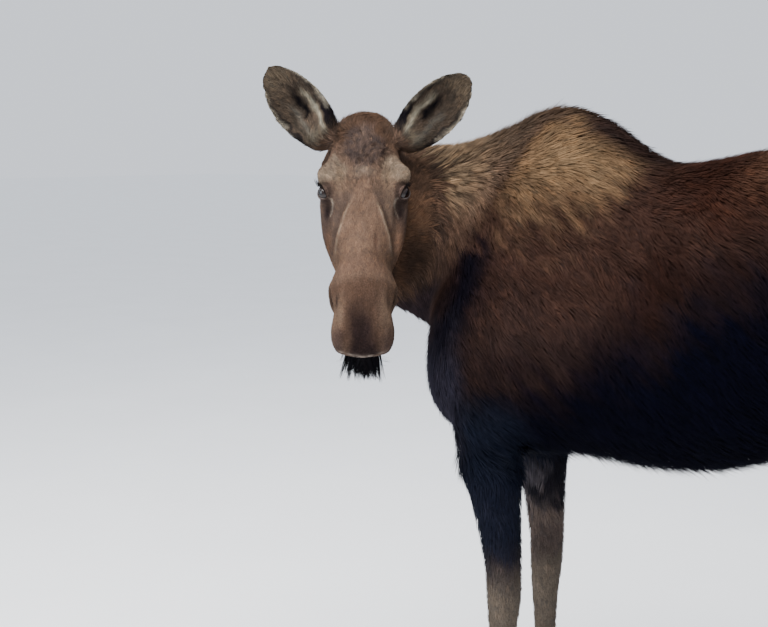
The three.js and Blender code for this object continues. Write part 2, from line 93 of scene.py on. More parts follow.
class Wire:
    """One output of a step in a finish."""

    def __init__(self, finish, socket):
        self.finish = finish
        self.socket = socket

    def sum(self, operation, first, second):
        return self.finish.step("ShaderNodeMath", {"operation": operation}, {0: first, 1: second})

    def __add__(self, other):
        return self.sum("ADD", self, other)

    def __mul__(self, other):
        return self.sum("MULTIPLY", self, other)

    __radd__ = __add__
    __rmul__ = __mul__


class Finish:
    """A material with one glossy-and-matte shader, made step by step."""

    def __init__(self, name, **fixed):
        self.material = bpy.data.materials.new(name)
        self.material.use_nodes = True
        self.nodes = self.material.node_tree.nodes
        self.links = self.material.node_tree.links
        self.shader = self.nodes["Principled BSDF"]
        for socket, value in fixed.items():
            self.shader.inputs[socket.replace("_", " ")].default_value = value

    def step(self, kind, settings=None, sockets=None, out=0):
        """Adds a node: its settings first, then the value or wire of each socket."""
        node = self.nodes.new(kind)
        for key, value in (settings or {}).items():
            if key == "stops":
                ramp = node.color_ramp.elements
                while len(ramp) < len(value):
                    ramp.new(0.5)
                for stop, (place, shade) in zip(ramp, value):
                    stop.position = place
                    stop.color = (*shade, 1)
            else:
                setattr(node, key, value)
        for key, value in (sockets or {}).items():
            self.feed(node.inputs[key], value)
        return Wire(self, node.outputs[out])

    def feed(self, socket, value):
        if isinstance(value, Wire):
            self.links.new(value.socket, socket)
        else:
            socket.default_value = value

    def grain(self, size, detail=3.0):
        """A cloudy grain of about this size in metres, from 0 to 1."""
        where = self.step("ShaderNodeTexCoord", out="Object")
        return self.step("ShaderNodeTexNoise", None, {"Vector": where, "Scale": 1 / size, "Detail": detail})

    def tinted(self, colour, tint):
        """The colour times another one."""
        return self.step("ShaderNodeMix", {"data_type": "RGBA", "blend_type": "MULTIPLY"},
                         {0: 1.0, 6: colour, 7: tint}, out=2)

    def set(self, **wires):
        for socket, value in wires.items():
            self.feed(self.shader.inputs[socket.replace("_", " ")], value)
        return self.material

    def raised(self, height, depth):
        """Small relief of this depth in metres."""
        return self.step("ShaderNodeBump", None, {"Height": height, "Distance": depth, "Strength": 1.0})


floor_mesh = bpy.data.meshes.new("floor")
floor_mesh.from_pydata([(-FLOOR_REACH, -FLOOR_REACH, 0), (FLOOR_REACH, -FLOOR_REACH, 0),
                        (FLOOR_REACH, FLOOR_REACH, 0), (-FLOOR_REACH, FLOOR_REACH, 0)], [], [(0, 1, 2, 3)])
floor = bpy.data.objects.new("floor", floor_mesh)
scene.collection.objects.link(floor)
pale = Finish("pale floor", Roughness=0.9)
cloudy = pale.step("ShaderNodeValToRGB", {"stops": [(0.3, (0.94, 0.95, 0.96)), (0.7, (0.97, 0.98, 0.99))]},
                   {"Fac": pale.grain(0.6)})
floor_mesh.materials.append(pale.set(Base_Color=cloudy))


# ---------------------------------------------------------------- the skin
# One hide covers the whole animal but its eyes and hooves. It is made from the parts of the body joined in
# one, rounded off, and drawn in by the depth of the coat that grows on it, so that no join shows.
FLESH = ["trunk", "neck", "head", "lower_jaw", "left_ear", "right_ear", "bell", "tail",
         "left_foreleg", "right_foreleg", "left_hindleg", "right_hindleg"]
TRUNK, NECK, HEAD, JAW, EAR, BELL, TAIL, LEG = range(8)
REGION_OF = [TRUNK, NECK, HEAD, JAW, EAR, EAR, BELL, TAIL, LEG, LEG, LEG, LEG]
POLL = HUMP_FOOT + (-0.477, -0.262, 1.800)
FACE_TURN = np.array((0.5840, -0.8118, 0.0))
FACE_DROP = math.radians(59)
UPWARD = np.array((0.0, 0.0, 1.0))
FACE_DOWN = FACE_TURN * math.cos(FACE_DROP) - UPWARD * math.sin(FACE_DROP)
FACE_OUT = FACE_TURN * math.sin(FACE_DROP) + UPWARD * math.cos(FACE_DROP)
FACE_LEFT = np.array((0.8118, 0.5840, 0.0))
ALONG_HEAD = np.stack([FACE_DOWN, FACE_LEFT, FACE_OUT])
EYE_RADIUS = 0.020
EYES = {side: POLL + 0.228 * FACE_DOWN + sign * 0.098 * FACE_LEFT - 0.030 * FACE_OUT
        for side, sign in (("left", 1), ("right", -1))}
EAR_ROOTS = [POLL + 0.084 * FACE_DOWN + sign * 0.084 * FACE_LEFT - 0.048 * FACE_OUT for sign in (1, -1)]
EAR_TIPS = [POLL - 0.073 * FACE_DOWN + 0.282 * FACE_LEFT + 0.063 * FACE_OUT,
            POLL - 0.091 * FACE_DOWN - 0.259 * FACE_LEFT + 0.077 * FACE_OUT]
# half the width of an ear, by the share of the way along it
EAR_HALF = np.array([(0, 30), (0.14, 44), (0.26, 59), (0.38, 68), (0.52, 71), (0.66, 67), (0.79, 54),
                     (0.9, 37), (0.97, 20), (1, 14)]) * (1, 0.001)
# flesh over each eyeball, how far each part is swelled to meet the next, and the size of the hide's meshes
LID_FLESH = 0.0022
JOIN_OVERLAP = 0.0009
MESH_SIZE = 0.0042


def ear_axes(k):
    """The way along an ear, the way its cup faces, and the way to its upper edge."""
    sign = (1, -1)[k]
    stem = (EAR_TIPS[k] - EAR_ROOTS[k]) / np.linalg.norm(EAR_TIPS[k] - EAR_ROOTS[k])
    facing = FACE_TURN + 0.28 * sign * FACE_LEFT
    facing = facing - stem * (facing @ stem)
    facing /= np.linalg.norm(facing)
    return stem, facing, -sign * np.cross(stem, facing)


def on_ear(points, k):
    """Shares of the way along an ear, and across it from its lower edge, -1, to its upper edge, 1."""
    stem, facing, upper = ear_axes(k)
    along = (points - EAR_ROOTS[k]) @ stem / np.linalg.norm(EAR_TIPS[k] - EAR_ROOTS[k])
    half = np.interp(along, *EAR_HALF.T)
    return along, (points - EAR_ROOTS[k]) @ upper / half


def eye_axes(side):
    """The way an eye looks, the way to its upper lid, and the way to its front corner."""
    sign = 1 if side == "left" else -1
    gaze = 0.71 * sign * FACE_LEFT + 0.64 * FACE_OUT + 0.27 * FACE_DOWN
    gaze /= np.linalg.norm(gaze)
    up = 0.72 * FACE_OUT - 0.51 * FACE_DOWN - 0.47 * sign * FACE_LEFT
    up = up - gaze * (up @ gaze)
    up /= np.linalg.norm(up)
    return gaze, up, sign * np.cross(gaze, up)


def slit_width(around):
    """Half the opening between the lids, as an angle seen from the middle of the eyeball."""
    wide, tall = math.radians(55), np.where(np.sin(around) > 0, math.radians(33), math.radians(31))
    return (np.abs(np.cos(around) / wide) ** 1.7 + np.abs(np.sin(around) / tall) ** 1.7) ** (-1 / 1.7)


def from_eye(points, side):
    """Each point's distance from an eye's middle, its angle from the gaze and its turn round it."""
    gaze, up, front = eye_axes(side)
    away = points - EYES[side]
    far = np.linalg.norm(away, axis=1)
    return far, np.arccos(np.clip(away @ gaze / far, -1, 1)), np.arctan2(away @ up, away @ front)


def on_head(points):
    """Distances down the face from the poll, to its left, and out of the forehead."""
    return ((points - POLL) @ ALONG_HEAD.T).T


def gap_to(points, places):
    """Each point's distance from the nearest of these places."""
    return np.min([np.linalg.norm(points - place, axis=1) for place in places], axis=0)


def unit(vectors):
    return vectors / np.maximum(np.linalg.norm(vectors, axis=-1, keepdims=True), 1e-9)


def rise(x, low, high):
    """0 below low, 1 above high, and smooth between them."""
    t = np.clip((x - low) / (high - low), 0, 1)
    return t * t * (3 - 2 * t)


def bump_at(distance, width):
    return np.exp(-((distance / width) ** 2))


def taken_from(mesh):
    """The points, edges and faces of a mesh as arrays; its faces all have the same number of corners."""
    points = np.empty(len(mesh.vertices) * 3, np.float32)
    mesh.vertices.foreach_get("co", points)
    edges = np.empty(len(mesh.edges) * 2, np.int32)
    mesh.edges.foreach_get("vertices", edges)
    corners = np.empty(len(mesh.loops), np.int32)
    mesh.loops.foreach_get("vertex_index", corners)
    return points.reshape(-1, 3).astype(float), edges.reshape(-1, 2), corners.reshape(len(mesh.polygons), -1)


def made_mesh(name, points, faces):
    """A smooth-shaded mesh from arrays of points and of faces."""
    mesh = bpy.data.meshes.new(name)
    mesh.vertices.add(len(points))
    mesh.vertices.foreach_set("co", np.ascontiguousarray(points, np.float32).ravel())
    mesh.loops.add(faces.size)
    mesh.loops.foreach_set("vertex_index", np.ascontiguousarray(faces, np.int32).ravel())
    mesh.polygons.add(len(faces))
    mesh.polygons.foreach_set("loop_start", np.arange(0, faces.size, faces.shape[1], dtype=np.int32))
    mesh.polygons.foreach_set("use_smooth", np.ones(len(faces), bool))
    mesh.update(calc_edges=True)
    return mesh


def placed(name, mesh):
    thing = bpy.data.objects.new(name, mesh)
    scene.collection.objects.link(thing)
    return thing


def worked(thing):
    """The thing's mesh with its modifiers carried out."""
    graph = bpy.context.evaluated_depsgraph_get()
    return bpy.data.meshes.new_from_object(thing.evaluated_get(graph))


body = bmesh.new()
for eye in EYES.values():
    # flesh closes over each eyeball, to be opened as lids
    bmesh.ops.create_icosphere(body, subdivisions=4, radius=EYE_RADIUS + LID_FLESH,
                               matrix=Matrix.Translation(Vector(eye)))
flesh_points, flesh_faces, flesh_region = [], [], []
for name, region in zip(FLESH, REGION_OF):
    part = bmesh.new()
    part.from_mesh(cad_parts[name].data)
    bmesh.ops.remove_doubles(part, verts=part.verts, dist=1e-6)
    part.normal_update()
    start = len(flesh_points)
    part.verts.index_update()
    flesh_points += [v.co.copy() for v in part.verts]
    flesh_faces += [[start + v.index for v in f.verts] for f in part.faces]
    flesh_region += [region] * len(part.faces)
    for v in part.verts:
        v.co += v.normal * JOIN_OVERLAP
    closed = bpy.data.meshes.new("part")
    part.to_mesh(closed)
    part.free()
    body.from_mesh(closed)
    bpy.data.meshes.remove(closed)
rough_mesh = bpy.data.meshes.new("rough body")
body.to_mesh(rough_mesh)
body.free()
rough = placed("rough body", rough_mesh)
even = rough.modifiers.new("even", "REMESH")
even.mode = "VOXEL"
even.voxel_size = MESH_SIZE
points, edges, quads = taken_from(worked(rough))
bpy.data.objects.remove(rough)


def largest_piece(points, edges, faces):
    """Drops the small closed bubbles that joining leaves inside."""
    piece = np.arange(len(points))
    while True:
        low = np.minimum(piece[edges[:, 0]], piece[edges[:, 1]])
        grown = piece.copy()
        np.minimum.at(grown, edges[:, 0], low)
        np.minimum.at(grown, edges[:, 1], low)
        grown = grown[grown]
        if (grown == piece).all():
            break
        piece = grown
    keep = piece == np.bincount(piece).argmax()
    number = np.cumsum(keep) - 1
    return points[keep], number[edges[keep[edges[:, 0]]]], number[faces[keep[faces[:, 0]]]]


points, edges, quads = largest_piece(points, edges, quads)
degree = np.bincount(edges.ravel(), minlength=len(points)).astype(float)


def eased(values, share, rounds):
    """Each value drawn towards the mean of its neighbours, by its own share, so many times over."""
    flat = values.reshape(len(values), -1).T.copy()
    first, second = edges[:, 0].copy(), edges[:, 1].copy()
    share = np.broadcast_to(share, len(values))
    for _ in range(rounds):
        for k in range(len(flat)):
            row = flat[k]
            around = np.bincount(first, row[second], len(row)) + np.bincount(second, row[first], len(row))
            flat[k] = row + share * (around / degree - row)
    return flat.T.reshape(values.shape)


def out_of(points, faces):
    """The direction straight out of the surface at each point."""
    a, b = points[faces[:, 2]] - points[faces[:, 0]], points[faces[:, -1]] - points[faces[:, 1]]
    across = np.cross(a, b) if faces.shape[1] == 4 else np.cross(points[faces[:, 1]] - points[faces[:, 0]], a)
    total = np.stack([sum(np.bincount(faces[:, c], across[:, k], len(points)) for c in range(faces.shape[1]))
                      for k in range(3)], 1)
    return unit(total)


flesh_tree = BVHTree.FromPolygons(flesh_points, flesh_faces)
nearest = np.array([flesh_region[flesh_tree.find_nearest(p)[2]] for p in points.tolist()])
sharp = np.eye(LEG + 1)[nearest]
share_of = eased(sharp, 1.0, 22)
share_of /= share_of.sum(1, keepdims=True)

# how much each part may be rounded off: the great curved masses freely, the head and the legs little
free = share_of @ np.array((0.5, 0.42, 0.08, 0.10, 0.04, 0.4, 0.3, 0.12))
low_leg = share_of[:, LEG] * rise(-points[:, 2], -0.75, -0.5)
free *= 1 - 0.5 * low_leg
eye_gap = gap_to(points, EYES.values())
free *= 0.08 + 0.92 * rise(eye_gap, 0.022, 0.040)
rounded = eased(points, free, 110)
points = rounded + 0.9 * eased(points - rounded, free, 60)

u, v, h = on_head(points)
x, y, z = (points - HUMP_FOOT).T
coat_depth = share_of @ np.array((0.013, 0.015, 0.0026, 0.0040, 0.0016, 0.014, 0.008, 0.0085))
flesh_out = out_of(points, quads)
crest = rise(flesh_out[:, 2], 0.55, 0.95) * (share_of[:, TRUNK] + share_of[:, NECK])
coat_depth += 0.009 * crest * rise(-x, -0.35, -0.1)
coat_depth += 0.010 * rise(-z, -1.02, -0.92) * share_of[:, TRUNK]
coat_depth -= 0.0048 * low_leg
on_face = share_of[:, HEAD] + share_of[:, JAW]
coat_depth += on_face * (0.007 * rise(-u, -0.12, -0.02)
                         + 0.003 * rise(-h, 0.08, 0.16) * rise(-u, -0.42, -0.3))
coat_depth -= on_face * 0.0012 * rise(u, 0.42, 0.5)
for eye in EYES.values():
    coat_depth *= rise(np.linalg.norm(points - eye, axis=1), 0.022, 0.045)
# the hair of the bell hangs far below its skin
coat_depth += 0.042 * share_of[:, BELL] * rise(-flesh_out[:, 2], 0.3, 0.9)
# the breast stands a little forward of the shoulders
breast = (rise(-flesh_out[:, 0], 0.1, 0.5) * rise(-x, 0.14, 0.22) * rise(z, 0.78, 0.88)
          * rise(-z, -1.38, -1.28))
breast *= share_of[:, TRUNK] + share_of[:, LEG]
points = points - (coat_depth - 0.012 * breast)[:, None] * flesh_out
points = eased(points, free * 0.6, 10)

# the carving of the face: brows, the hollows before the eyes, folds of the nostrils and the line of the mouth
# each row: down the face, to the side, out of the forehead, its three half sizes, and how far it stands out
CARVING = [
    (0.180, 0.110, -0.020, 0.026, 0.022, 0.028, 0.0105),
    (0.204, 0.096, -0.004, 0.018, 0.022, 0.018, 0.0050),
    (0.272, 0.092, -0.040, 0.030, 0.012, 0.024, -0.0080),
    (0.266, 0.079, -0.020, 0.032, 0.005, 0.022, 0.0034),
    (0.258, 0.118, -0.066, 0.034, 0.018, 0.014, 0.0045),
    (0.345, 0.100, -0.078, 0.075, 0.020, 0.018, 0.0050),
    (0.515, 0.088, -0.050, 0.020, 0.020, 0.026, 0.0030),
    (0.478, 0.062, -0.020, 0.024, 0.018, 0.022, 0.0030),
    (0.536, 0.064, -0.030, 0.026, 0.007, 0.016, -0.0042),
    (0.566, 0.078, -0.078, 0.016, 0.012, 0.026, -0.0045),
    (0.528, 0.080, -0.078, 0.020, 0.014, 0.018, 0.0040),
    (0.600, 0.070, -0.060, 0.030, 0.020, 0.030, 0.0022),
    (0.610, 0.000, -0.010, 0.060, 0.012, 0.030, -0.0030),
    (0.600, 0.034, -0.012, 0.050, 0.018, 0.026, 0.0018),
    (0.440, 0.070, -0.120, 0.030, 0.020, 0.020, -0.0035),
    (0.385, 0.033, 0.012, 0.040, 0.005, 0.020, -0.0018),
    (0.120, 0.000, 0.020, 0.060, 0.045, 0.024, 0.0040),
    (-0.005, 0.000, -0.030, 0.050, 0.032, 0.050, 0.0060),
    (0.000, 0.062, -0.030, 0.040, 0.018, 0.050, -0.0045),
    (0.215, 0.000, 0.008, 0.030, 0.030, 0.020, -0.0030),
    (0.215, 0.062, 0.004, 0.030, 0.018, 0.020, -0.0045),
]
skin_out = out_of(points, quads)
u, v, h = on_head(points)
carved = np.zeros(len(points))
for down, side, out, long, wide, tall, stands in CARVING:
    near = ((u - down) / long) ** 2 + ((h - out) / tall) ** 2
    carved += stands * np.exp(-near - ((np.abs(v) - side) / wide) ** 2)
# the flat bridge of the nose widens from between the eyes to the nostrils, and the sides fall away from it
# each pair: down the face, and from the middle to the edge of the bridge
BRIDGE = np.array([(0.19, 0.006), (0.22, 0.018), (0.25, 0.025), (0.27, 0.034), (0.294, 0.045),
                   (0.325, 0.055), (0.36, 0.066), (0.40, 0.073)])
bridge_edge = np.interp(u, *BRIDGE.T)
carved -= (0.0072 * rise(np.abs(v) - bridge_edge, 0.0, 0.012) * rise(h, -0.075, -0.045)
           * rise(u, 0.235, 0.285) * rise(-u, -0.455, -0.42) * rise(-np.abs(v), -0.104, -0.088))
carved += (0.0024 * bump_at(np.abs(v) - bridge_edge + 0.003, 0.006) * rise(u, 0.25, 0.30)
           * rise(-u, -0.44, -0.41) * rise(h, -0.05, -0.02))
lips = eased(sharp[:, [HEAD, JAW]], 1.0, 4).prod(1) * 4 * rise(u, 0.36, 0.46)
carved -= 0.0045 * lips
points += (carved * on_face * rise(eye_gap, 0.024, 0.034))[:, None] * skin_out
for side in EYES:
    # the hide closes over the ball and dips behind it where the lids part
    far, polar, around = from_eye(points, side)
    parted = rise(slit_width(around) + math.radians(11) - polar, 0, math.radians(4))
    wanted = np.maximum(far, 1.10 * EYE_RADIUS) * (1 - parted) + 0.84 * EYE_RADIUS * parted
    near = (far < 0.030) & (polar < math.radians(100))
    points[near] += ((wanted / far - 1)[:, None] * (points - EYES[side]))[near]
skin_out = out_of(points, quads)


# ---------------------------------------------------------------- the markings
# The colours of skin and coat: grizzled brown over the shoulders with a golden patch on the hump, black
# below, a grey-brown face with pale brows and a dark muzzle, and grey shanks. Painted shade deepens the
# belly, the neck's hollow, the nostrils and the hollows before the eyes, and painted light lifts the shaded
# sides of the face.
# Hide and tufts share one rule.
LIGHT_LOSS = 0.44  # hair drinks some of the light that a painted card gives back
DARKEST = 0.0006


def shade(red, green, blue):
    """A colour as a paint card names it, from 0 to 255, as the light it gives back."""
    return np.array([(c / 255 / 12.92) if c < 10 else ((c / 255 + 0.055) / 1.055) ** 2.4
                     for c in (red, green, blue)])


def cloud(points, size, seed, waves=20):
    """A smooth random field, about -1 to 1, whose blots are about this size in metres."""
    dice = np.random.default_rng(seed)
    turn = unit(dice.normal(size=(waves, 3))) * (2 * math.pi / size) * dice.uniform(0.5, 1.3, (waves, 1))
    return np.sin(points @ turn.T + dice.uniform(0, 6.28, waves)).sum(1) / math.sqrt(waves)


def paint_trunk(paint, points, parts, ragged):
    x, y, z = (points - HUMP_FOOT).T
    # the back and the flanks
    height = z + ragged
    paint((62, 37, 28), rise(x, 0.22, 0.40) * rise(height, 1.46, 1.62))
    paint((102, 72, 56), rise(x, 0.44, 0.60) * rise(height, 1.54, 1.68))
    paint((70, 52, 47), rise(-height, -1.40, -1.20))
    paint((54, 34, 28), rise(x, 0.16, 0.34) * rise(-height, -1.54, -1.40))
    # the golden patch on the hump and its darker mane
    foot_of_gold = np.interp(x, (-0.10, 0.005, 0.105, 0.19, 0.25), (1.57, 1.56, 1.57, 1.60, 1.66))
    gold = rise(height - foot_of_gold, -0.055, 0.065) * rise(x, -0.20, -0.10) * rise(-x, -0.28, -0.18)
    paint((102, 78, 60), 0.8 * rise(height - foot_of_gold, -0.13, 0.02) * rise(x, -0.20, -0.10)
          * rise(-x, -0.26, -0.10))
    paint((136, 108, 80), gold * (0.6 + 0.4 * rise(x, -0.12, 0.0)))
    paint((156, 126, 94), gold * bump_at(x - 0.06, 0.10) * bump_at(z - 1.69, 0.07) * 0.8)
    paint((86, 68, 54), rise(x, -0.26, -0.16) * rise(-x, -0.24, -0.12) * rise(height, 1.735, 1.79))
    paint((52, 38, 34), rise(-np.abs(y), -0.095, -0.035) * rise(x, -0.01, 0.08) * rise(-x, -0.30, -0.24)
          * rise(z, 1.6, 1.66))
    paint((70, 52, 40), bump_at(x + 0.159 - 0.40 * (z - 1.6), 0.015) * rise(height, 1.46, 1.56) * 0.8)
    # the black of the belly, dark hair deepened with painted shade under the body, rises towards the stifle
    low = parts[:, TRUNK] + parts[:, LEG]
    dark_line = np.interp(x, (-0.2, 0.1, 0.21, 0.31, 0.40, 0.48, 0.58, 0.75, 0.95),
                          (1.09, 1.115, 1.225, 1.275, 1.315, 1.36, 1.42, 1.40, 1.30)) + 1.2 * ragged
    paint((38, 27, 29), rise(dark_line + 0.05 - z, -0.11, 0.08) * low)
    paint((6, 7, 24), rise(dark_line - 0.04 - z, -0.085, 0.085) * low)
    paint((32, 37, 52), low * rise(-x, -0.02, 0.10) * rise(-z, -1.12, -1.02) * 0.85)
    # the hollow between neck and shoulder, dark hair deepened with painted shade, and the brisket
    hollow_x = np.interp(z, (1.10, 1.16, 1.25, 1.31, 1.37, 1.44, 1.50),
                         (-0.31, -0.29, -0.245, -0.215, -0.20, -0.195, -0.18))
    hollow = bump_at(x - hollow_x, 0.068 + 0.012 * cloud(points, 0.05, 17)) * rise(-height, -1.54, -1.45)
    # dark fur and painted shade down the hollow
    paint((18, 17, 30), 0.97 * hollow * rise(z, 1.0, 1.1) * np.clip(1.6 * parts[:, TRUNK], 0, 1))
    paint((56, 53, 66), rise(-x, 0.16, 0.24) * rise(-height, -1.30, -1.12) * parts[:, TRUNK])


def paint_neck(paint, points, parts, ragged):
    z = points[:, 2]
    height = z + ragged
    # pale above and grizzled at the side, dark towards the throat
    neck = parts[:, NECK]
    paint((108, 84, 70), neck)
    paint((92, 76, 64), neck * rise(height, 1.60, 1.72))
    paint((66, 54, 58), neck * rise(-height, -1.48, -1.34))
    # pale and dark locks fan out from behind the ears
    locks = neck * bump_at(gap_to(points, EAR_ROOTS) - 0.13, 0.10) * rise(z, 1.50, 1.58)
    paint((172, 144, 114), 0.9 * locks)
    from_root = points - EAR_ROOTS[0]
    turn = np.arctan2(-from_root[:, 2], from_root[:, 0] * 0.81 + from_root[:, 1] * 0.59)
    stripe = np.sin(44 * turn + 1.3 * cloud(points, 0.09, 7) + 0.7 * cloud(points, 0.03, 21))
    paint((42, 33, 31), locks * rise(stripe, 0.1, 0.8) * 0.9)
    # painted shade on the neck behind the cheek
    paint((40, 32, 36), np.clip(5 * neck * (parts[:, HEAD] + parts[:, JAW]), 0, 1) * rise(-z, -1.74, -1.66))


def paint_legs(paint, points, parts, ragged):
    x, y, z = (points - HUMP_FOOT).T
    leg = parts[:, LEG]
    paint((27, 31, 47), leg * rise(-z - ragged, -1.12, -0.86))
    paint((34, 37, 52), leg * rise(-z, -0.90, -0.76))
    paint((126, 110, 102), leg * rise(-z - 0.5 * ragged, -0.80, -0.66) * rise(-np.abs(x + 0.1), -0.3, -0.2)
          * rise(y, -0.05, 0.05))
    paint((72, 62, 62), leg * rise(-z - 0.6 * ragged, -0.68, -0.56) * 0.8)
    paint((124, 112, 100), leg * rise(-z - 0.6 * ragged, -0.62, -0.50))
    paint((82, 72, 66), leg * rise(-z, -0.22, -0.1))
    # the far foreleg is grey-blue inside and black outside
    outer = 0.81 * (x + 0.1845) + 0.59 * (y - 0.187)
    far_leg = leg * rise(y, -0.05, 0.05) * rise(-x, -0.3, -0.2) * rise(z + ragged, 0.66, 0.74)
    paint((128, 120, 124), far_leg * rise(-z, -0.86, -0.78) * 0.5)
    paint((30, 29, 37), far_leg * rise(outer + ragged, -0.015, 0.015) * 0.95)


def paint_head(paint, points, out, parts):
    u, v, h = on_head(points)
    side = np.abs(v)
    face = parts[:, HEAD] + parts[:, JAW]
    front = rise(h, -0.055, -0.02)
    wander = 0.006 * cloud(points, 0.05, 8)
    paint((122, 99, 84), face)
    edge = np.interp(u, *BRIDGE.T)
    paint((114, 95, 84), face * rise(side + 0.6 * wander - edge, 0.0, 0.010) * rise(u, 0.22, 0.27)
          * rise(-u, -0.46, -0.41))
    paint((124, 94, 74), face * rise(-h + wander, 0.065, 0.11))
    paint((80, 62, 52), face * rise(-h + wander, 0.13, 0.20))
    # brown round the poll, a grey patch on the forehead with a parting down its middle, and pale brows
    paint((98, 76, 62), face * rise(0.112 + 0.96 * (side - 0.063) - u + wander, -0.010, 0.014)
          * rise(-u, -0.2, -0.17))
    inner_end = np.interp(u, (0.12, 0.135, 0.15, 0.175, 0.2), (0.082, 0.066, 0.053, 0.043, 0.048))
    brow = rise(u - 0.112 - 0.96 * (side - 0.063) + wander, -0.010, 0.010) * rise(-u, -0.215, -0.192)
    brow = (brow * rise(side + wander - inner_end, -0.008, 0.010) * rise(h, -0.07, -0.03)
            * np.clip(0.9 + 0.2 * cloud(points, 0.012, 27), 0, 1.1))
    paint((172, 150, 128), face * brow * rise(v, -0.01, 0.01))
    paint((138, 120, 103), face * brow * rise(-v, -0.01, 0.01))
    paint((160, 140, 120), face * brow * rise(-v, -0.01, 0.01) * rise(u, 0.165, 0.185)
          * rise(side, 0.06, 0.08) * 0.8)
    paint((154, 134, 118), face * bump_at(side, 0.028) * bump_at(u + wander - 0.186, 0.013) * front * 0.8)
    paint((128, 104, 90), face * bump_at(side - 0.088, 0.018) * bump_at(u - 0.085, 0.05) * 0.8)
    # painted light on the side of the nose that turns away from the lamps
    paint((148, 124, 106), face * bump_at(v - 0.066, 0.013) * bump_at(u - 0.27, 0.045) * 0.7)
    paint((146, 122, 100), face * bump_at(side - 0.062, 0.016) * bump_at(u - 0.20, 0.03) * front * 0.6)
    half = np.interp(u, (0.03, 0.06, 0.10, 0.135, 0.16, 0.175), (0.016, 0.026, 0.046, 0.054, 0.034, 0.004))
    patch = rise(half - side + 1.6 * wander, -0.010, 0.012) * rise(u, 0.03, 0.06) * rise(-u, -0.178, -0.160)
    paint((84, 71, 66), face * front * patch * np.clip(0.9 + 0.3 * cloud(points, 0.013, 9), 0, 1))
    paint((60, 46, 38), face * front * rise(cloud(points, 0.014, 15), 0.6, 1.4)
          * rise(-u, -0.19, -0.15) * 0.6)
    paint((58, 44, 38), face * bump_at(v - 0.050, 0.011) * rise(u, 0.08, 0.11) * rise(-u, -0.20, -0.17)
          * front * np.clip(0.55 + 0.5 * cloud(points, 0.012, 22), 0, 1))
    paint((66, 50, 42), face * bump_at(v + 0.062, 0.012) * bump_at(u - 0.115, 0.022) * front
          * np.clip(0.5 + 0.5 * cloud(points, 0.012, 23), 0, 1))
    paint((120, 100, 88), face * bump_at(side, 0.004) * rise(u, 0.03, 0.05) * rise(-u, -0.11, -0.09) * 0.7)
    # the flat bridge of the nose, with a painted highlight along its edge and painted shade just outside it
    bridge = (rise(edge - side + 0.6 * wander, -0.002, 0.008) * rise(u + wander, 0.185, 0.22)
              * rise(-u, -0.45, -0.40))
    paint((140, 112, 94), face * bridge * front * 0.9)
    ridge_highlight_and_shade = face * rise(u, 0.26, 0.30) * rise(h, -0.095, -0.075)
    paint((84, 68, 60), ridge_highlight_and_shade * bump_at(side - edge - 0.010, 0.006) * rise(-u, -0.43, -0.36) * 0.55)
    paint((178, 154, 132), ridge_highlight_and_shade * bump_at(side - edge + 0.001, 0.0030) * rise(-u, -0.42, -0.38)
          * np.clip(0.7 + 0.4 * cloud(points, 0.03, 16), 0, 1))
    paint((134, 105, 88), face * bump_at(u - 0.455, 0.030) * rise(-side, -0.075, -0.05) * front * 0.8)
    paint((94, 72, 62), face * bump_at(v - 0.032, 0.005) * bump_at(u - 0.385, 0.033) * 0.75 * front)
    paint((120, 88, 68), face * bump_at(side - 0.092, 0.012) * bump_at(u - 0.36, 0.04) * 0.6)
    # the hollow in front of each eye, darkened with painted shade, with its pale edge
    paint((44, 36, 38), face * bump_at(u - 0.278, 0.026) * bump_at(side - 0.094, 0.011)
          * rise(h, -0.10, -0.05))
    paint((84, 68, 64), face * bump_at(u - 0.325, 0.040) * bump_at(side - 0.102, 0.010)
          * rise(h, -0.12, -0.07) * 0.6)
    # painted light on the cheek that turns away from the lamps
    paint((172, 134, 110), face * bump_at(u - 0.365, 0.050) * bump_at(v - 0.092, 0.016)
          * rise(h, -0.13, -0.09) * 0.8)
    crescent = np.interp(u, (0.246, 0.254, 0.266, 0.278, 0.292), (0.093, 0.082, 0.0785, 0.082, 0.090))
    paint((190, 172, 154), face * rise(u, 0.240, 0.250) * rise(-u, -0.296, -0.286)
          * bump_at(side - crescent, 0.0019) * rise(h, -0.07, -0.03))
    # the muzzle, the nostrils and the lips
    paint((106, 82, 68), face * rise(u + wander, 0.475, 0.510) * front)
    paint((150, 124, 104), face * bump_at(u - 0.575, 0.042) * bump_at(side - 0.060, 0.016) * 0.75)
    paint((96, 78, 72), face * rise(u + wander, 0.60, 0.64) * rise(side, 0.04, 0.06) * 0.8)
    dark = np.interp(u, (0.49, 0.56, 0.62, 0.67), (0.000, 0.014, 0.026, 0.036))
    paint((80, 62, 54), face * rise(dark - side + 1.5 * wander, -0.034, 0.004) * rise(u, 0.50, 0.60)
          * rise(h, -0.09, -0.06))
    paint((50, 38, 38), face * rise(0.8 * dark - side + 2 * wander, -0.018, 0.014) * rise(u, 0.53, 0.64)
          * rise(h, -0.09, -0.06) * 0.85)
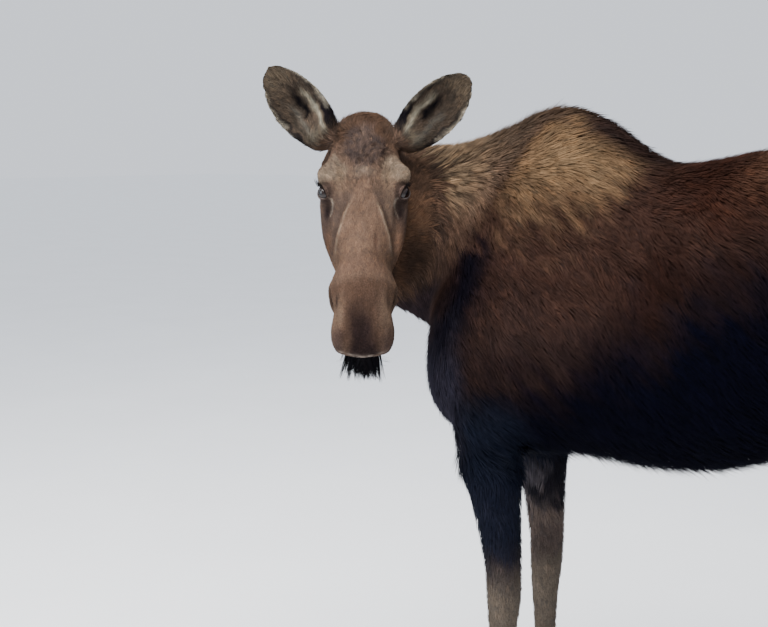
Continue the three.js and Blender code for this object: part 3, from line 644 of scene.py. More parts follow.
    # painted shade in each nostril and in the fold beside it
    paint((30, 25, 27), face * bump_at(u - 0.520, 0.022) * bump_at(side - 0.074, 0.012)
          * bump_at(h + 0.055, 0.016))
    paint((70, 55, 48), face * bump_at(u - 0.538, 0.022) * bump_at(side - 0.064, 0.0045) * 0.85)
    lip = rise(out @ (0.857 * FACE_DOWN - 0.515 * FACE_OUT), 0.93, 0.97) * rise(u, 0.60, 0.64)
    paint((206, 196, 188), 0.8 * face * lip * rise(-side, -0.060, -0.045)
          * np.clip(0.75 + 0.4 * cloud(points, 0.02, 12), 0, 1))
    paint((200, 182, 168), face * bump_at(h + 0.067, 0.006) * rise(u, 0.625, 0.65)
          * rise(-side, -0.068, -0.048) * np.clip(0.35 + 0.35 * cloud(points, 0.02, 24), 0, 1))
    paint((140, 116, 100), face * bump_at(u - 0.56, 0.06) * bump_at(v - 0.056, 0.02) * 0.45)
    paint((46, 37, 38), parts[:, JAW] * rise(u, 0.52, 0.58))
    # darker skin round each eye, with painted shade from the brow and lashes
    for eye in EYES.values():
        dark_and_shade_round_eye = rise(-np.linalg.norm(points - eye, axis=1), -0.036, -0.023)
        paint((56, 45, 43), face * dark_and_shade_round_eye * 0.75)


def of_ear(points, parts, k):
    """How far each point belongs to this ear and not to the other."""
    middle = (EAR_ROOTS[k] + EAR_TIPS[k]) / 2
    return parts[:, EAR] * rise(-np.linalg.norm(points - middle, axis=1), -0.17, -0.15)


def paint_ear(paint, points, out, parts, k):
    """Grey-brown behind, with a dark base, and inside banded pale and dark round a deep hollow; the dark
    bands inside are dark hair and painted shade in the cup.
    """
    along, up = on_ear(points, k)
    mine = of_ear(points, parts, k)
    inner = rise(out @ ear_axes(k)[1], 0.0, 0.35)
    up = up + 0.05 * cloud(points, 0.03, 14)
    paint((86, 74, 66), mine)
    paint((46, 41, 48), mine * (1 - inner) * rise(-along, -0.52, -0.34))
    inside = mine * inner
    paint((106, 91, 78), inside)
    paint((98, 85, 73), inside * rise(along, 0.45, 0.6))
    paint((136, 120, 100), inside * bump_at(along - 0.86, 0.10) * 0.6)
    # dark bands inside the cup: dark hair with painted shade
    paint((26, 22, 28), inside * rise(up, 0.60, 0.70) * rise(-along, -0.50, -0.36))
    paint((188, 178, 156), inside * bump_at(up - 0.44, 0.12) * rise(along, 0.10, 0.2)
          * rise(-along, -0.66, -0.5))
    paint((18, 16, 20), inside * bump_at(up - 0.08 - 0.3 * (along - 0.45), 0.18) * rise(along, 0.33, 0.40)
          * rise(-along, -0.80, -0.55))
    paint((122, 116, 106), inside * bump_at(up + 0.30, 0.12) * rise(-along, -0.60, -0.45) * 0.8)
    paint((64, 60, 54), inside * bump_at(up + 0.56, 0.11) * rise(-along, -0.55, -0.4) * 0.8)
    paint((50, 44, 43), inside * rise(-up, 0.68, 0.80) * rise(-along, -0.72, -0.55))
    paint((50, 44, 42), inside * bump_at(np.abs(up) - 0.80, 0.07) * rise(along, 0.34, 0.48)
          * rise(-along, -0.96, -0.86) * 0.7)
    paint((60, 52, 47), inside * rise(cloud(points, 0.016, 28), 0.6, 1.4) * rise(along, 0.45, 0.60) * 0.6)
    paint((142, 133, 115), inside * bump_at(up + 0.1, 0.5) * bump_at(along - 0.17, 0.06) * 0.8)
    paint((214, 202, 180), mine * bump_at(np.abs(up) - 1.0, 0.11) * rise(along, 0.28, 0.45))
    paint((206, 194, 172), mine * rise(along, 0.95, 0.98))
    paint((60, 47, 42), mine * rise(-along, -0.10, -0.02))


def markings(points, out, parts):
    """The colour of the coat at each point, where out is the way the skin faces."""
    x, y, z = (points - HUMP_FOOT).T
    streak = cloud(np.stack([0.2 * (0.8 * x - 0.62 * z), y, 0.62 * x + 0.8 * z], 1), 0.035, 25)
    ragged = 0.022 * cloud(points, 0.22, 3) + 0.014 * cloud(points, 0.07, 4) + 0.020 * streak
    colour = np.tile(shade(74, 52, 44), (len(points), 1))

    def paint(card, mask):
        nonlocal colour
        colour = colour + np.clip(mask, 0, 1)[:, None] * (shade(*card) - colour)

    paint_trunk(paint, points, parts, ragged)
    paint_neck(paint, points, parts, ragged)
    paint_legs(paint, points, parts, ragged)
    paint((26, 25, 30), parts[:, BELL])
    paint((62, 48, 42), parts[:, TAIL])
    paint_head(paint, points, out, parts)
    for k in range(2):
        paint_ear(paint, points, out, parts, k)
    # hairs of one lock share a tone: it runs in streaks along the lie of the coat
    u, v, h = on_head(points)
    fine_streak = cloud(np.stack([0.3 * u, v, 0.6 * h], 1), 0.014, 26)
    neck, leg, face = parts[:, NECK], parts[:, LEG], parts[:, HEAD] + parts[:, JAW]
    strength = 0.15 * streak * (parts[:, TRUNK] + 0.6 * neck + 0.6 * leg) + 0.09 * fine_streak * face
    colour = colour * np.exp(strength)[:, None]
    return np.clip(colour * LIGHT_LOSS, DARKEST, 1)


# ---------------------------------------------------------------- the lids
# Thick soft lids of bare dark skin lie close on each eyeball and leave an almond-shaped slit.
# They are closed rings that run back under the hide, and are joined to it as one mesh.
def lid_ring(side, turns=64):
    """The points, faces and colours of both lids of one eye."""
    gaze, up, front = eye_axes(side)
    around = np.arange(turns) * 2 * math.pi / turns
    # each row: degrees outside the slit, distance from the eyeball's middle in radii, and how bare and dark
    rows = [(0, 1.004, 1), (0.6, 1.05, 1), (3, 1.10, 0.9), (8, 1.15, 0.6), (13, 1.17, 0.3), (18, 1.13, 0.7),
            (24, 1.13, 0.2), (33, 1.03, 0), (33, 0.97, 0), (12, 0.97, 1)]
    ring = []
    for step, reach, _ in rows:
        polar = slit_width(around) + math.radians(step)
        spot = (np.cos(polar)[:, None] * gaze + np.sin(polar)[:, None]
                * (np.cos(around)[:, None] * front + np.sin(around)[:, None] * up))
        ring.append(EYES[side] + EYE_RADIUS * reach * spot)
    number = np.arange(len(rows) * turns).reshape(len(rows), turns)
    after = np.roll(number, -1, axis=1)
    faces = np.stack([number, after, np.roll(after, -1, axis=0), np.roll(number, -1, axis=0)], -1)
    faces = faces.reshape(-1, 4)
    triangles = np.concatenate([faces[:, [0, 1, 2]], faces[:, [0, 2, 3]]])
    spots = np.concatenate(ring)
    a, b, c = (spots[triangles[:, k]] - spots.mean(0) for k in range(3))
    if (np.cross(a, b) * c).sum() < 0:
        triangles = triangles[:, ::-1]
    bare = np.repeat([r[2] for r in rows], turns)[:, None]
    tones = shade(84, 68, 60) * (1 - bare) + shade(20, 16, 16) * bare
    # a painted highlight shines pale on the rim of the lower lid
    shine = [0, 0, 1, 0.2] + [0] * (len(rows) - 4)
    lit = np.tile(rise(-np.sin(around), 0.1, 0.5), len(rows)) * np.repeat(shine, turns)
    return spots, triangles, tones + 0.5 * lit[:, None] * (shade(120, 110, 106) - tones)


# ---------------------------------------------------------------- the hide
# Skin with a fine nap, hidden by the coat but for the nostrils and the rims of the eyes.
# It is thinned to a few triangles where it is plain, and keeps the fine ones on the head.
HIDE_TRIANGLES = 150000
hide = placed("hide", made_mesh("hide", points, quads))
plain = hide.vertex_groups.new(name="plain")
plainness = np.clip(1 - on_face - share_of[:, EAR], 0, 1)
for level in range(1, 5):
    chosen = np.nonzero((plainness > (level - 1) / 4) & (plainness <= level / 4))[0].tolist()
    plain.add(chosen, level / 4, "REPLACE")
fewer = hide.modifiers.new("fewer", "DECIMATE")
fewer.ratio = HIDE_TRIANGLES / (2 * len(quads))
fewer.vertex_group = "plain"
fewer.vertex_group_factor = 6.0
fewer.use_collapse_triangulate = True
thin_mesh = worked(hide)
bpy.data.objects.remove(hide)
skin_points, _, skin_faces = taken_from(thin_mesh)
bpy.data.meshes.remove(thin_mesh)


def carried_over(values, to_points, from_points):
    """Values at the nearest of the first points."""
    tree = kdtree.KDTree(len(from_points))
    for i, p in enumerate(from_points.tolist()):
        tree.insert(p, i)
    tree.balance()
    return values[[tree.find(p)[1] for p in to_points.tolist()]]


skin_parts = carried_over(np.column_stack([share_of, coat_depth]), skin_points, points)
skin_parts, skin_depth = skin_parts[:, :-1], skin_parts[:, -1]
skin_out = out_of(skin_points, skin_faces)
# the hide is painted a little darker than the hair, as painted shade under the coat
skin_colour = markings(skin_points, skin_out, skin_parts) * 0.92
# the eyes' surround is bare and dark
for eye in EYES.values():
    bare = rise(-np.linalg.norm(skin_points - eye, axis=1), -0.0215, -0.0205)
    skin_colour += bare[:, None] * (shade(34, 27, 26) - skin_colour)

all_points, all_faces, all_colour = [skin_points], [skin_faces], [skin_colour]
for side in EYES:
    spots, triangles, tones = lid_ring(side)
    all_faces.append(triangles + sum(len(p) for p in all_points))
    all_points.append(spots)
    all_colour.append(tones)
hide_mesh = made_mesh("hide", np.concatenate(all_points), np.concatenate(all_faces))


def coloured(mesh, colours):
    """Puts one colour on each point of a mesh, for its finish to read."""
    layer = mesh.color_attributes.new("markings", "FLOAT_COLOR", "POINT")
    solid = np.column_stack([colours, np.ones(len(colours))])
    layer.data.foreach_set("color", solid.astype(np.float32).ravel())


coloured(hide_mesh, np.concatenate(all_colour))
leather = Finish("hide", Roughness=0.8, Specular_IOR_Level=0.04)
dye = leather.step("ShaderNodeAttribute", {"attribute_name": "markings"}, out="Color")
nap = leather.grain(0.004, 4.0)
pores = leather.grain(0.0016, 2.0)
flecked = leather.tinted(dye, leather.step("ShaderNodeValToRGB", {
    "stops": [(0.3, (0.62, 0.60, 0.58)), (0.7, (1.25, 1.25, 1.25))]}, {"Fac": nap}))
leather.set(Base_Color=flecked, Normal=leather.raised(nap + 0.5 * pores, 0.0012))
hide_mesh.materials.append(leather.material)
hide = placed("hide", hide_mesh)
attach(hide, "root")
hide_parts(*FLESH)


# ---------------------------------------------------------------- the coat
# Guard hairs stand in thin pointed tufts, rooted in the hide and lying along the body, each lock of them with
# its own tone. They are longest on the bell, the mane and the belly, and shortest on the nose and the ears.
ROOT_SUNK = 0.0012
# every tuft has a small patch of its own on the unwrapped hide, which keeps a margin at its edge
PATCH_SIZE = 0.003
PATCH_EDGE = 0.012
PATCH_SPAN = 0.973
skin_tree = BVHTree.FromPolygons(skin_points.tolist(), skin_faces.tolist())
corner = skin_points[skin_faces]
face_area = np.linalg.norm(np.cross(corner[:, 1] - corner[:, 0], corner[:, 2] - corner[:, 0]), axis=1) / 2
face_middle = corner.mean(1)
face_parts = skin_parts[skin_faces].mean(1)
face_out = unit(skin_out[skin_faces].sum(1))
NECK_LINE = np.array([(0.090, 0, 1.400), (-0.090, 0, 1.430), (-0.250, 0, 1.455), (-0.385, -0.032, 1.485),
                      (-0.470, -0.115, 1.515), (-0.503, -0.218, 1.540), (-0.478, -0.312, 1.550)]) + HUMP_FOOT


def along_neck(points):
    """The way back down the neck, from the head to the withers, at each point."""
    middle = (NECK_LINE[1:] + NECK_LINE[:-1]) / 2
    back = unit(NECK_LINE[:-1] - NECK_LINE[1:])
    gap = ((points[:, None] - middle[None]) ** 2).sum(-1)
    share = np.exp(-gap / 0.012)
    return unit((share[..., None] * back).sum(1))


def lie_of(points, out, parts):
    """The way the hair lies at each point, along the skin."""
    x, y, z = (points - HUMP_FOOT).T
    u, v, h = on_head(points)
    side = np.sign(v)
    way = parts[:, [TRUNK]] * np.array((0.80, 0, -0.62))
    way = way + (parts[:, TRUNK] * rise(-x, 0.18, 0.34))[:, None] * np.array((-0.5, 0, -0.8))
    mane = parts[:, TRUNK] * rise(z, 1.58, 1.72) * rise(-x, -0.16, -0.02)
    way = way + mane[:, None] * np.array((0, 0, 0.9))
    sinking = (0.62 * (1 - 0.9 * rise(z, 1.56, 1.68)))[:, None]
    neck_way = 0.75 * along_neck(points) + sinking * np.array((0, 0, -1.0))
    way = way + parts[:, [NECK]] * neck_way
    for root in EAR_ROOTS:
        # a fan of locks spreads from behind each ear
        spread = points - (root + 0.03 * FACE_DOWN)
        near = bump_at(np.linalg.norm(spread, axis=1), 0.24) * parts[:, NECK]
        way = way + 1.1 * near[:, None] * unit(spread)
    brow = np.stack([-0.05 + 0 * u, 0.9 * v, 0 * u], 1) @ ALONG_HEAD
    face_way = -FACE_DOWN[None] + (rise(-h, 0.07, 0.16) * 0.9)[:, None] * -FACE_OUT[None]
    face_way = face_way + (0.35 * side * rise(np.abs(v), 0.02, 0.09))[:, None] * FACE_LEFT[None]
    whorl = bump_at(u - 0.13, 0.09) * rise(h, -0.07, -0.02)
    face_way = face_way * (1 - whorl)[:, None] + whorl[:, None] * unit(brow)
    way = way + (parts[:, HEAD] + parts[:, JAW])[:, None] * face_way
    for k in range(2):
        mine = of_ear(points, parts, k)
        stem, facing, upper = ear_axes(k)
        spread = 0.5 * np.clip(on_ear(points, k)[1], -1, 1) * rise(out @ facing, 0.0, 0.4)
        way = way + mine[:, None] * (stem + spread[:, None] * upper)
    way = way + (parts[:, LEG] + parts[:, BELL] + parts[:, TAIL])[:, None] * np.array((0.12, 0, -1.0))
    way = way + (parts[:, BELL] * 0.15 * np.clip(v / 0.04, -1, 1))[:, None] * FACE_LEFT
    way = way - (way * out).sum(1, keepdims=True) * out
    return unit(way)


def settled(points):
    """The nearest point of the hide to each point, and the way out of it there."""
    found = [skin_tree.find_nearest(p) for p in points.tolist()]
    return np.array([f[0] for f in found]), np.array([f[1] for f in found])


STRAND = {
    # three-sided spindles: the full one bends at two rings, the short one has a single ring
    "long": (np.array([(0, 2, 1), (0, 3, 2), (0, 1, 3),
                       (1, 2, 5), (1, 5, 4), (2, 3, 6), (2, 6, 5), (3, 1, 4), (3, 4, 6),
                       (4, 5, 7), (5, 6, 7), (6, 4, 7)]), (0.32, 0.68)),
    "short": (np.array([(0, 2, 1), (0, 3, 2), (0, 1, 3), (1, 2, 4), (2, 3, 4), (3, 1, 4)]), (0.42,)),
}


def strand_places(faces, rings):
    """Where each corner of a spindle's faces falls on its own small patch of the unwrapped hide."""
    last = 3 * len(rings) + 1
    places = []
    for face in faces:
        sides = sorted({(i - 1) % 3 for i in face if 0 < i < last})
        first = sides[0] if sides[1] == sides[0] + 1 else 2
        patch = []
        for i in face:
            if i == 0:
                patch.append(((first + 0.5) / 3, 0.0))
            elif i == last:
                patch.append(((first + 0.5) / 3, 1.0))
            else:
                step = (i - 1) % 3
                patch.append(((first + (0 if step == first else 1)) / 3, rings[(i - 1) // 3]))
        places.append(patch)
    return np.array(places)


def spindles(name, root, middle, tip, out, width, tone_root, tone_tip, spread, kind):
    """One mesh of closed tufts. spread is each root's place on the unwrapped hide.
    A tuft is too fine to shade on its own, so it takes the light as the hide below it does."""
    faces, rings = STRAND[kind]
    count = len(root)
    across = unit(np.cross(tip - root, out))
    points, colours, facing = [root], [tone_root], [out]
    for at, girth in zip(rings, (1.0, 0.72)):
        centre = (1 - at) ** 2 * root + 2 * at * (1 - at) * middle + at * at * tip
        tone = tone_root + (tone_tip - tone_root) * at
        for sideways, upward in ((0.5, 0.0), (-0.5, 0.0), (0.0, 0.24)):
            points.append(centre + (girth * width)[:, None] * (sideways * across + upward * out))
            colours.append(tone)
            facing.append(unit(out + 0.8 * sideways * across))
    points.append(tip)
    colours.append(tone_tip)
    facing.append(out)
    each = len(points)
    points = np.stack(points, 1).reshape(-1, 3)
    first = np.arange(count) * each
    probe = points[:each]
    a, b, c = (probe[faces[:, k]] - probe.mean(0) for k in range(3))
    turned = faces if (np.cross(a, b) * c).sum() > 0 else faces[:, ::-1]
    mesh = made_mesh(name, points, (first[:, None, None] + turned[None]).reshape(-1, 3))
    coloured(mesh, np.stack(colours, 1).reshape(-1, 3))
    mesh.normals_split_custom_set_from_vertices(np.stack(facing, 1).reshape(-1, 3))
    patch = strand_places(turned, rings)
    low, high = spread.min(0), spread.max(0)
    base = PATCH_EDGE + PATCH_SPAN * (spread - low) / np.maximum(high - low, 1e-9)
    places = base[:, None, None, :] + PATCH_SIZE * patch[None]
    layer = mesh.uv_layers.new(name="OFBake")
    layer.data.foreach_set("uv", places.astype(np.float32).ravel())
    return mesh


fur = Finish("coat", Roughness=0.8, Specular_IOR_Level=0.03)
fur_dye = fur.step("ShaderNodeAttribute", {"attribute_name": "markings"}, out="Color")
fur_grain = fur.step("ShaderNodeValToRGB", {
    "stops": [(0.25, (0.80, 0.79, 0.78)), (0.75, (1.12, 1.12, 1.12))]}, {"Fac": fur.grain(0.006)})
fur.set(Base_Color=fur.tinted(fur_dye, fur_grain))


def coat(name, where, count, length, width, seed, lift=(0.5, 1.0), wild=0.06, locks=0.15,
         lock_size=10, tone=0.12, along=None, hangs=False):
    """Grows one piece of the coat over the faces of the hide where `where` is above nothing.
    length, width, wild and locks may be numbers or rules of (points, out, parts)."""
    dice = np.random.default_rng(seed)
    chance = np.cumsum(face_area * np.clip(where, 0, None))
    spot = (np.arange(count) + dice.random(count)) / count * chance[-1]
    face = np.minimum(np.searchsorted(chance, spot), len(chance) - 1)
    a, b = dice.random(count), dice.random(count)
    over = a + b > 1
    a, b = np.where(over, 1 - a, a), np.where(over, 1 - b, b)
    mix = np.stack([1 - a - b, a, b], 1)[:, :, None]
    ids = skin_faces[face]
    root = (skin_points[ids] * mix).sum(1)
    parts = (skin_parts[ids] * mix).sum(1)
    depth = (skin_depth[ids] * mix[:, :, 0]).sum(1)
    out = unit((skin_out[ids] * mix).sum(1))
    rule = lambda r: r(root, out, parts) if callable(r) else np.full(count, float(r))
    long, wide, loose, gather = rule(length), rule(width), rule(wild), rule(locks)
    long = long * dice.uniform(0.72, 1.2, count)
    wide = wide * dice.uniform(0.7, 1.3, count)
    lie = lie_of(root, out, parts)
    swing = 2.2 * loose * cloud(root, 0.09, seed + 20) + loose * dice.normal(size=count)
    sideways = np.cross(out, lie)
    lie = np.cos(swing)[:, None] * lie + np.sin(swing)[:, None] * sideways
    sideways = np.cross(out, lie)
    bend = 0.05 * dice.normal(size=count) * long
    half_spot = root + 0.5 * long[:, None] * lie + bend[:, None] * sideways
    end_spot = root + long[:, None] * lie
    half_out = end_out = out
    if not hangs:
        half_spot, half_out = settled(half_spot)
        end_spot, end_out = settled(end_spot)
    hanging = 1 + 0.45 * rise(-out[:, 2], 0.2, 0.8) * parts[:, TRUNK]
    stand = depth * hanging * (0.70 + 0.45 * dice.random(count) ** 1.5 + 0.7 * dice.random(count) ** 12)
    middle = half_spot + (lift[0] * stand)[:, None] * half_out
    tip = end_spot + (lift[1] * stand)[:, None] * end_out
    root_in = root - ROOT_SUNK * out
    # tufts draw together into locks
    leaders = np.arange(0, count, lock_size)
    tree = kdtree.KDTree(len(leaders))
    for k, i in enumerate(leaders.tolist()):
        tree.insert(root[i], k)
    tree.balance()
    mine = leaders[[tree.find(p)[1] for p in root.tolist()]]
    gather = gather[:, None]
    tip = tip + gather * (tip[mine] - tip) * 0.85
    middle = middle + 0.45 * gather * (middle[mine] - middle)
    own = dice.normal(size=count)
    strength = np.exp(tone * (0.75 * own[mine] + 0.65 * dice.normal(size=count)))[:, None]
    warm = 1 + 0.03 * own[mine][:, None] * np.array((1.0, 0.1, -0.9))
    colour = markings(root + 0.4 * (tip - root), out, parts) * strength * warm
    if along is None:
        along = lambda p: np.stack([p[:, 0], np.arctan2(p[:, 1] - HUMP_FOOT[1], p[:, 2] - 1.3)], 1)
    # each tuft is darker at its root and lighter at its tip: painted shade deep in the coat, painted light at
    # its surface
    mesh = spindles(name, root_in, middle, tip, out, wide, colour * 0.86, colour * 1.10, along(root), "short")
    mesh.materials.append(fur.material)
    piece = placed(name, mesh)
    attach(piece, "root")


def share(*regions):
    return face_parts[:, list(regions)].sum(1)


# ---------------------------------------------------------------- the coat of the trunk
# Coarse hair some five centimetres long lies back and down over shoulder, flank and rump.
# It hangs longer under the belly, and stands in a mane along the withers.
mx, my, mz = (face_middle - HUMP_FOOT).T
trunk = share(TRUNK)


def trunk_length(points, out, parts):
    x, y, z = (points - HUMP_FOOT).T
    crest = rise(out[:, 2], 0.6, 0.95) * rise(-x, -0.32, -0.1)
    return 0.051 + 0.020 * crest + 0.022 * rise(-z, -1.02, -0.93) - 0.010 * rise(x, 0.7, 1.0)


def trunk_width(points, out, parts):
    x, y, z = (points - HUMP_FOOT).T
    return 0.0032 + 0.0010 * rise(y, -0.05, 0.05) + 0.0006 * rise(x, 0.5, 0.8)


under = face_out[:, 2] <= -0.55
for name, mask, count, seed in (
        ("coat_left_shoulder", (my < 0) & (mx < 0.36) & ~under, 32000, 11),
        ("coat_left_flank", (my < 0) & (mx >= 0.36) & ~under, 26000, 12),
        ("coat_right_shoulder", (my >= 0) & (mx < 0.36) & ~under, 20000, 13),
        ("coat_right_flank", (my >= 0) & (mx >= 0.36) & ~under, 19000, 14),
        ("coat_belly", under, 12000, 15)):
    coat(name, trunk * mask, count, trunk_length, trunk_width, seed=seed)


# ---------------------------------------------------------------- the coat of the neck
# The hair of the neck is longer, and falls in pointed locks that spread in a fan from behind the ears.
# Pale and dark locks lie side by side.
def near_ear(points):
    return bump_at(gap_to(points, EAR_ROOTS), 0.20)


neck_side = (face_middle - HUMP_FOOT) @ np.array((0.45, 0.89, 0)) < -0.12
for name, mask, count, seed in (
        ("coat_left_neck", neck_side, 23000, 21),
        ("coat_right_neck", ~neck_side, 14000, 22)):
    coat(name, share(NECK) * mask, count, lambda p, out, parts: 0.056 + 0.03 * near_ear(p),
         lambda p, out, parts: 0.0032 - 0.0004 * near_ear(p), wild=0.07,
         locks=lambda p, out, parts: 0.2 + 0.6 * near_ear(p), lock_size=16, tone=0.22, seed=seed)


# ---------------------------------------------------------------- the coat of the head
# Short dense hair, curly on the forehead, sleek on the bridge of the nose and like velvet on the muzzle.
# It lies from the muzzle up to the poll, and back over the cheeks.
mu, mv, mh = on_head(face_middle)
eye_clear = 1.0
for side in EYES:
    far, angle, around = from_eye(face_middle, side)
    past_lids = rise(angle - slit_width(around), math.radians(11), math.radians(18))
    eye_clear = eye_clear * np.minimum(past_lids + rise(far, 0.026, 0.034), 1)
nostril_gap = np.hypot(np.hypot((mu - 0.522) * 0.75, np.abs(mv) - 0.076), mh + 0.054)
clear = eye_clear * rise(nostril_gap, 0.012, 0.02)
around_head = lambda p: np.stack([on_head(p)[0], np.arctan2(on_head(p)[1], on_head(p)[2] + 0.10)], 1)


def face_length(points, out, parts):
    u, v, h = on_head(points)
    long = (0.011 + 0.014 * rise(-u, -0.19, -0.06) + 0.010 * rise(-u, -0.06, 0.0)
            + 0.012 * rise(-h, 0.09, 0.17))
    long = long - 0.005 * rise(u, 0.44, 0.54) * rise(h, -0.16, -0.12)
    return long * (0.35 + 0.65 * rise(gap_to(points, EYES.values()), 0.024, 0.05))


def face_wild(points, out, parts):
    u, v, h = on_head(points)
    curly = rise(-u, -0.215, -0.16) * rise(h, -0.07, -0.03) * rise(-np.abs(v), -0.085, -0.05)
    return 0.10 + 0.34 * curly


face = share(HEAD, JAW) * clear
coat("coat_forehead", face * (mu < 0.235), 20000, face_length, 0.0019, wild=face_wild,
     locks=0.5, lock_size=8, tone=0.20, lift=(0.6, 1.0), along=around_head, seed=31)
coat("coat_nose", face * (mu >= 0.235) * (mh > -0.12), 18000, face_length, 0.0014, wild=0.07,
     locks=0.25, tone=0.13, lift=(0.7, 0.8), along=around_head, seed=32)
coat("coat_jaws", face * (mu >= 0.235) * (mh <= -0.12), 8000, face_length, 0.0019, wild=0.10,
     locks=0.3, along=around_head, seed=33)


# ---------------------------------------------------------------- the lashes
# Long dark lashes fringe the upper lids, longest towards the back corner of the eye, and curve upwards.
lash_root, lash_middle, lash_tip, lash_out = [], [], [], []
dice = np.random.default_rng(35)
for side in EYES:
    gaze, up, front = eye_axes(side)
    around = np.linspace(0.14, 0.97, 30) * math.pi + dice.uniform(-0.03, 0.03, 30)
    polar = slit_width(around) + math.radians(1.5)
    spot = (np.cos(polar)[:, None] * gaze + np.sin(polar)[:, None]
            * (np.cos(around)[:, None] * front + np.sin(around)[:, None] * up))
    long = (0.010 + 0.010 * around / math.pi)[:, None] * dice.uniform(0.8, 1.1, (30, 1))
    lash_root.append(EYES[side] + 1.06 * EYE_RADIUS * spot)
    lash_middle.append(lash_root[-1] + long * (0.55 * spot + 0.1 * gaze - 0.1 * front))
    lash_tip.append(lash_middle[-1] + long * unit(0.4 * spot + 0.5 * up - 0.35 * front))
    lash_out.append(unit(spot + 0.3 * up))
lash_root = np.concatenate(lash_root)
dark_lash = np.tile(shade(14, 11, 11), (len(lash_root), 1))
lash_mesh = spindles("lashes", lash_root, np.concatenate(lash_middle), np.concatenate(lash_tip),
                     np.concatenate(lash_out), np.full(len(lash_root), 0.0011), dark_lash, dark_lash,
                     around_head(lash_root), "long")
lash_mesh.materials.append(fur.material)
lashes = placed("lashes", lash_mesh)
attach(lashes, "root")


# ---------------------------------------------------------------- the coat of the ears
# Soft short hair behind, and long pale hair inside that reaches from the edges over the dark hollow.
ear_far = [np.linalg.norm(face_middle - (root + tip) / 2, axis=1) for root, tip in zip(EAR_ROOTS, EAR_TIPS)]
for k, name in enumerate(("coat_left_ear", "coat_right_ear")):
    stem, facing, upper = ear_axes(k)

    def unrolled(p, root=EAR_ROOTS[k], stem=stem, facing=facing, upper=upper):
        # the inside is laid out beside the back of the ear
        inner = (settled(p)[1] @ facing) > 0.1
        return np.stack([(p - root) @ stem, (p - root) @ upper + 0.2 * inner], 1)

    def ear_length(points, out, parts, facing=facing):
        return 0.013 + 0.010 * rise(out @ facing, 0.0, 0.4)

    coat(name, share(EAR) * (ear_far[k] < ear_far[1 - k]), 7000, ear_length, 0.0019, wild=0.16,
         locks=0.4, lock_size=8, tone=0.2, lift=(1.2, 2.0), along=unrolled, seed=41 + k)


# ---------------------------------------------------------------- the coat of the legs
# Close hair, black above the knee and hock and grey-brown below, runs down to the hooves.
# The unwrapped hide turns round each leg's own middle.
leg = share(LEG)


def leg_length(points, out, parts):
    return 0.017 + 0.022 * rise(points[:, 2], 0.55, 0.85) + 0.012 * rise(-points[:, 2], -0.16, -0.08)


def down_leg(p):
    """The way round each leg and down it; the right legs are laid out beside the left ones."""
    right = p[:, 1] > 0.13
    sideways = p[:, 1] - 0.13 - 0.16 * np.sign(p[:, 1] - 0.13)
    forward = p[:, 0] - np.where(p[:, 0] < 0.1, -0.40, 0.62)
    return np.stack([np.arctan2(sideways, forward) + 6.6 * right, p[:, 2]], 1)


for name, mask, seed in (("coat_forelegs", mx < 0.35, 51), ("coat_hindlegs", mx >= 0.35, 52)):
    coat(name, leg * mask, 13000, leg_length, 0.0027, wild=0.08, locks=0.25, tone=0.14,
         lift=(0.55, 0.95), along=down_leg, seed=seed)


# ---------------------------------------------------------------- bell and tail
# The bell, a fold of skin under the throat, and the stub of a tail end in long coarse hair.
def bell_length(points, out, parts):
    # the hairs end level, however high they are rooted
    return np.clip(points[:, 2] - 1.084, 0.03, 0.12)


coat("coat_bell", share(BELL) * (share(BELL) > 0.5), 1700, bell_length, 0.0016, wild=0.08, locks=0.85,
     lock_size=18, tone=0.25, hangs=True, lift=(0.6, 0.8),
     along=lambda p: np.stack([np.arctan2(*(p[:, :2] - np.array((-0.723, -0.142))).T), p[:, 2]], 1), seed=61)
coat("coat_tail", share(TAIL), 1400, 0.045, 0.0036, wild=0.12, locks=0.5, tone=0.2,
     along=lambda p: np.stack([np.arctan2(p[:, 1] - HUMP_FOOT[1], p[:, 0] - 0.89), p[:, 2]], 1), seed=62)


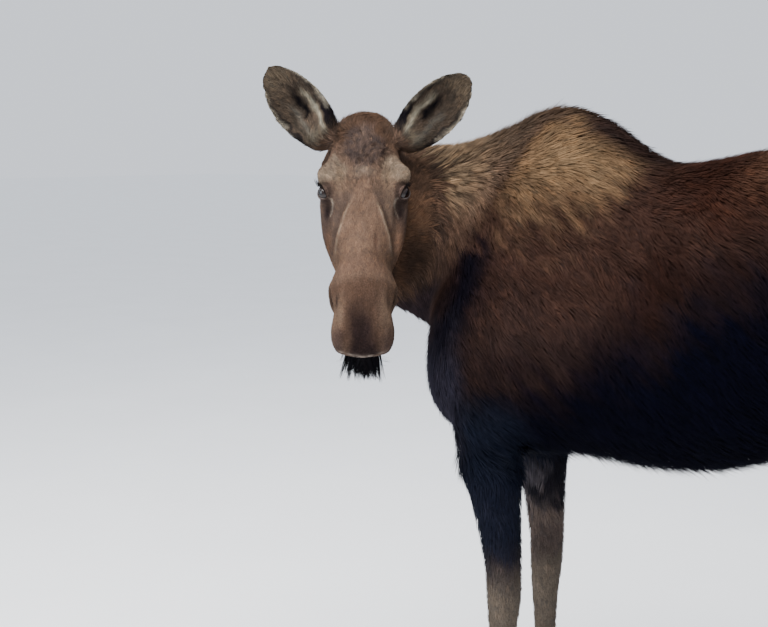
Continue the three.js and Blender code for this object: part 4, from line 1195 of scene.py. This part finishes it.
# ---------------------------------------------------------------- the eyes
# Round dark brown eyes with a wide oval pupil, wet and glossy, set deep between the lids.
eye_finish = Finish("eye", Roughness=0.08, Specular_IOR_Level=0.35)
eye_dye = eye_finish.step("ShaderNodeAttribute", {"attribute_name": "markings"}, out="Color")
eye_finish.set(Base_Color=eye_finish.tinted(eye_dye, eye_finish.step(
    "ShaderNodeValToRGB", {"stops": [(0.35, (0.8, 0.8, 0.8)), (0.65, (1.2, 1.2, 1.2))]},
    {"Fac": eye_finish.grain(0.0015)})))
for side in EYES:
    gaze, up, front = eye_axes(side)
    ball = bmesh.new()
    bmesh.ops.create_uvsphere(ball, u_segments=48, v_segments=32, radius=EYE_RADIUS * 0.995)
    ball_mesh = bpy.data.meshes.new(side + "_eyeball")
    ball.to_mesh(ball_mesh)
    ball.free()
    spots = np.array([v.co for v in ball_mesh.vertices]) @ np.stack([front, up, gaze])
    level = spots / EYE_RADIUS
    sidewise, upright, ahead = level @ front, level @ up, level @ gaze
    swell = 1 + 0.05 * rise(ahead, 0.75, 1.0)
    ball_mesh.vertices.foreach_set("co", (spots * swell[:, None] + EYES[side]).astype(np.float32).ravel())
    iris = rise(-np.hypot(sidewise, upright), -0.66, -0.60) * (ahead > 0)
    pupil = rise(-np.hypot(sidewise * 0.62, upright * 1.25), -0.30, -0.25) * (ahead > 0)
    dyes = np.tile(shade(30, 23, 22), (len(spots), 1))
    dyes += iris[:, None] * (shade(30, 18, 13) - dyes)
    dyes += pupil[:, None] * (shade(6, 6, 10) - dyes)
    coloured(ball_mesh, dyes)
    for patch in ball_mesh.polygons:
        patch.use_smooth = True
    ball_mesh.materials.append(eye_finish.material)
    ball_mesh.update()
    piece = placed(side + "_eyeball", ball_mesh)
    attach(piece, "root")
    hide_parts(side + "_eye")


# ---------------------------------------------------------------- hooves and dewclaws
# Two pointed toes of dark horn carry each foot, and two small dewclaws sit behind and above them.
horn = Finish("horn", Specular_IOR_Level=0.45)
rings_of_growth = horn.step("ShaderNodeTexWave", {"bands_direction": "Z"}, {
    "Vector": horn.step("ShaderNodeTexCoord", out="Object"), "Scale": 34.0, "Distortion": 6.0, "Detail": 3.0})
horn_grain = horn.grain(0.01)
horn.set(
    Base_Color=horn.step("ShaderNodeValToRGB", {
        "stops": [(0.2, shade(30, 26, 24)), (0.8, shade(54, 47, 42))]},
        {"Fac": 0.5 * horn_grain + 0.5 * rings_of_growth}),
    Roughness=0.4 + 0.25 * horn_grain,
    Normal=horn.raised(0.4 * rings_of_growth + horn_grain, 0.0004))
for name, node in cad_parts.items():
    if name.endswith(("_toe", "_dewclaw")):
        node.data.materials.clear()
        node.data.materials.append(horn.material)
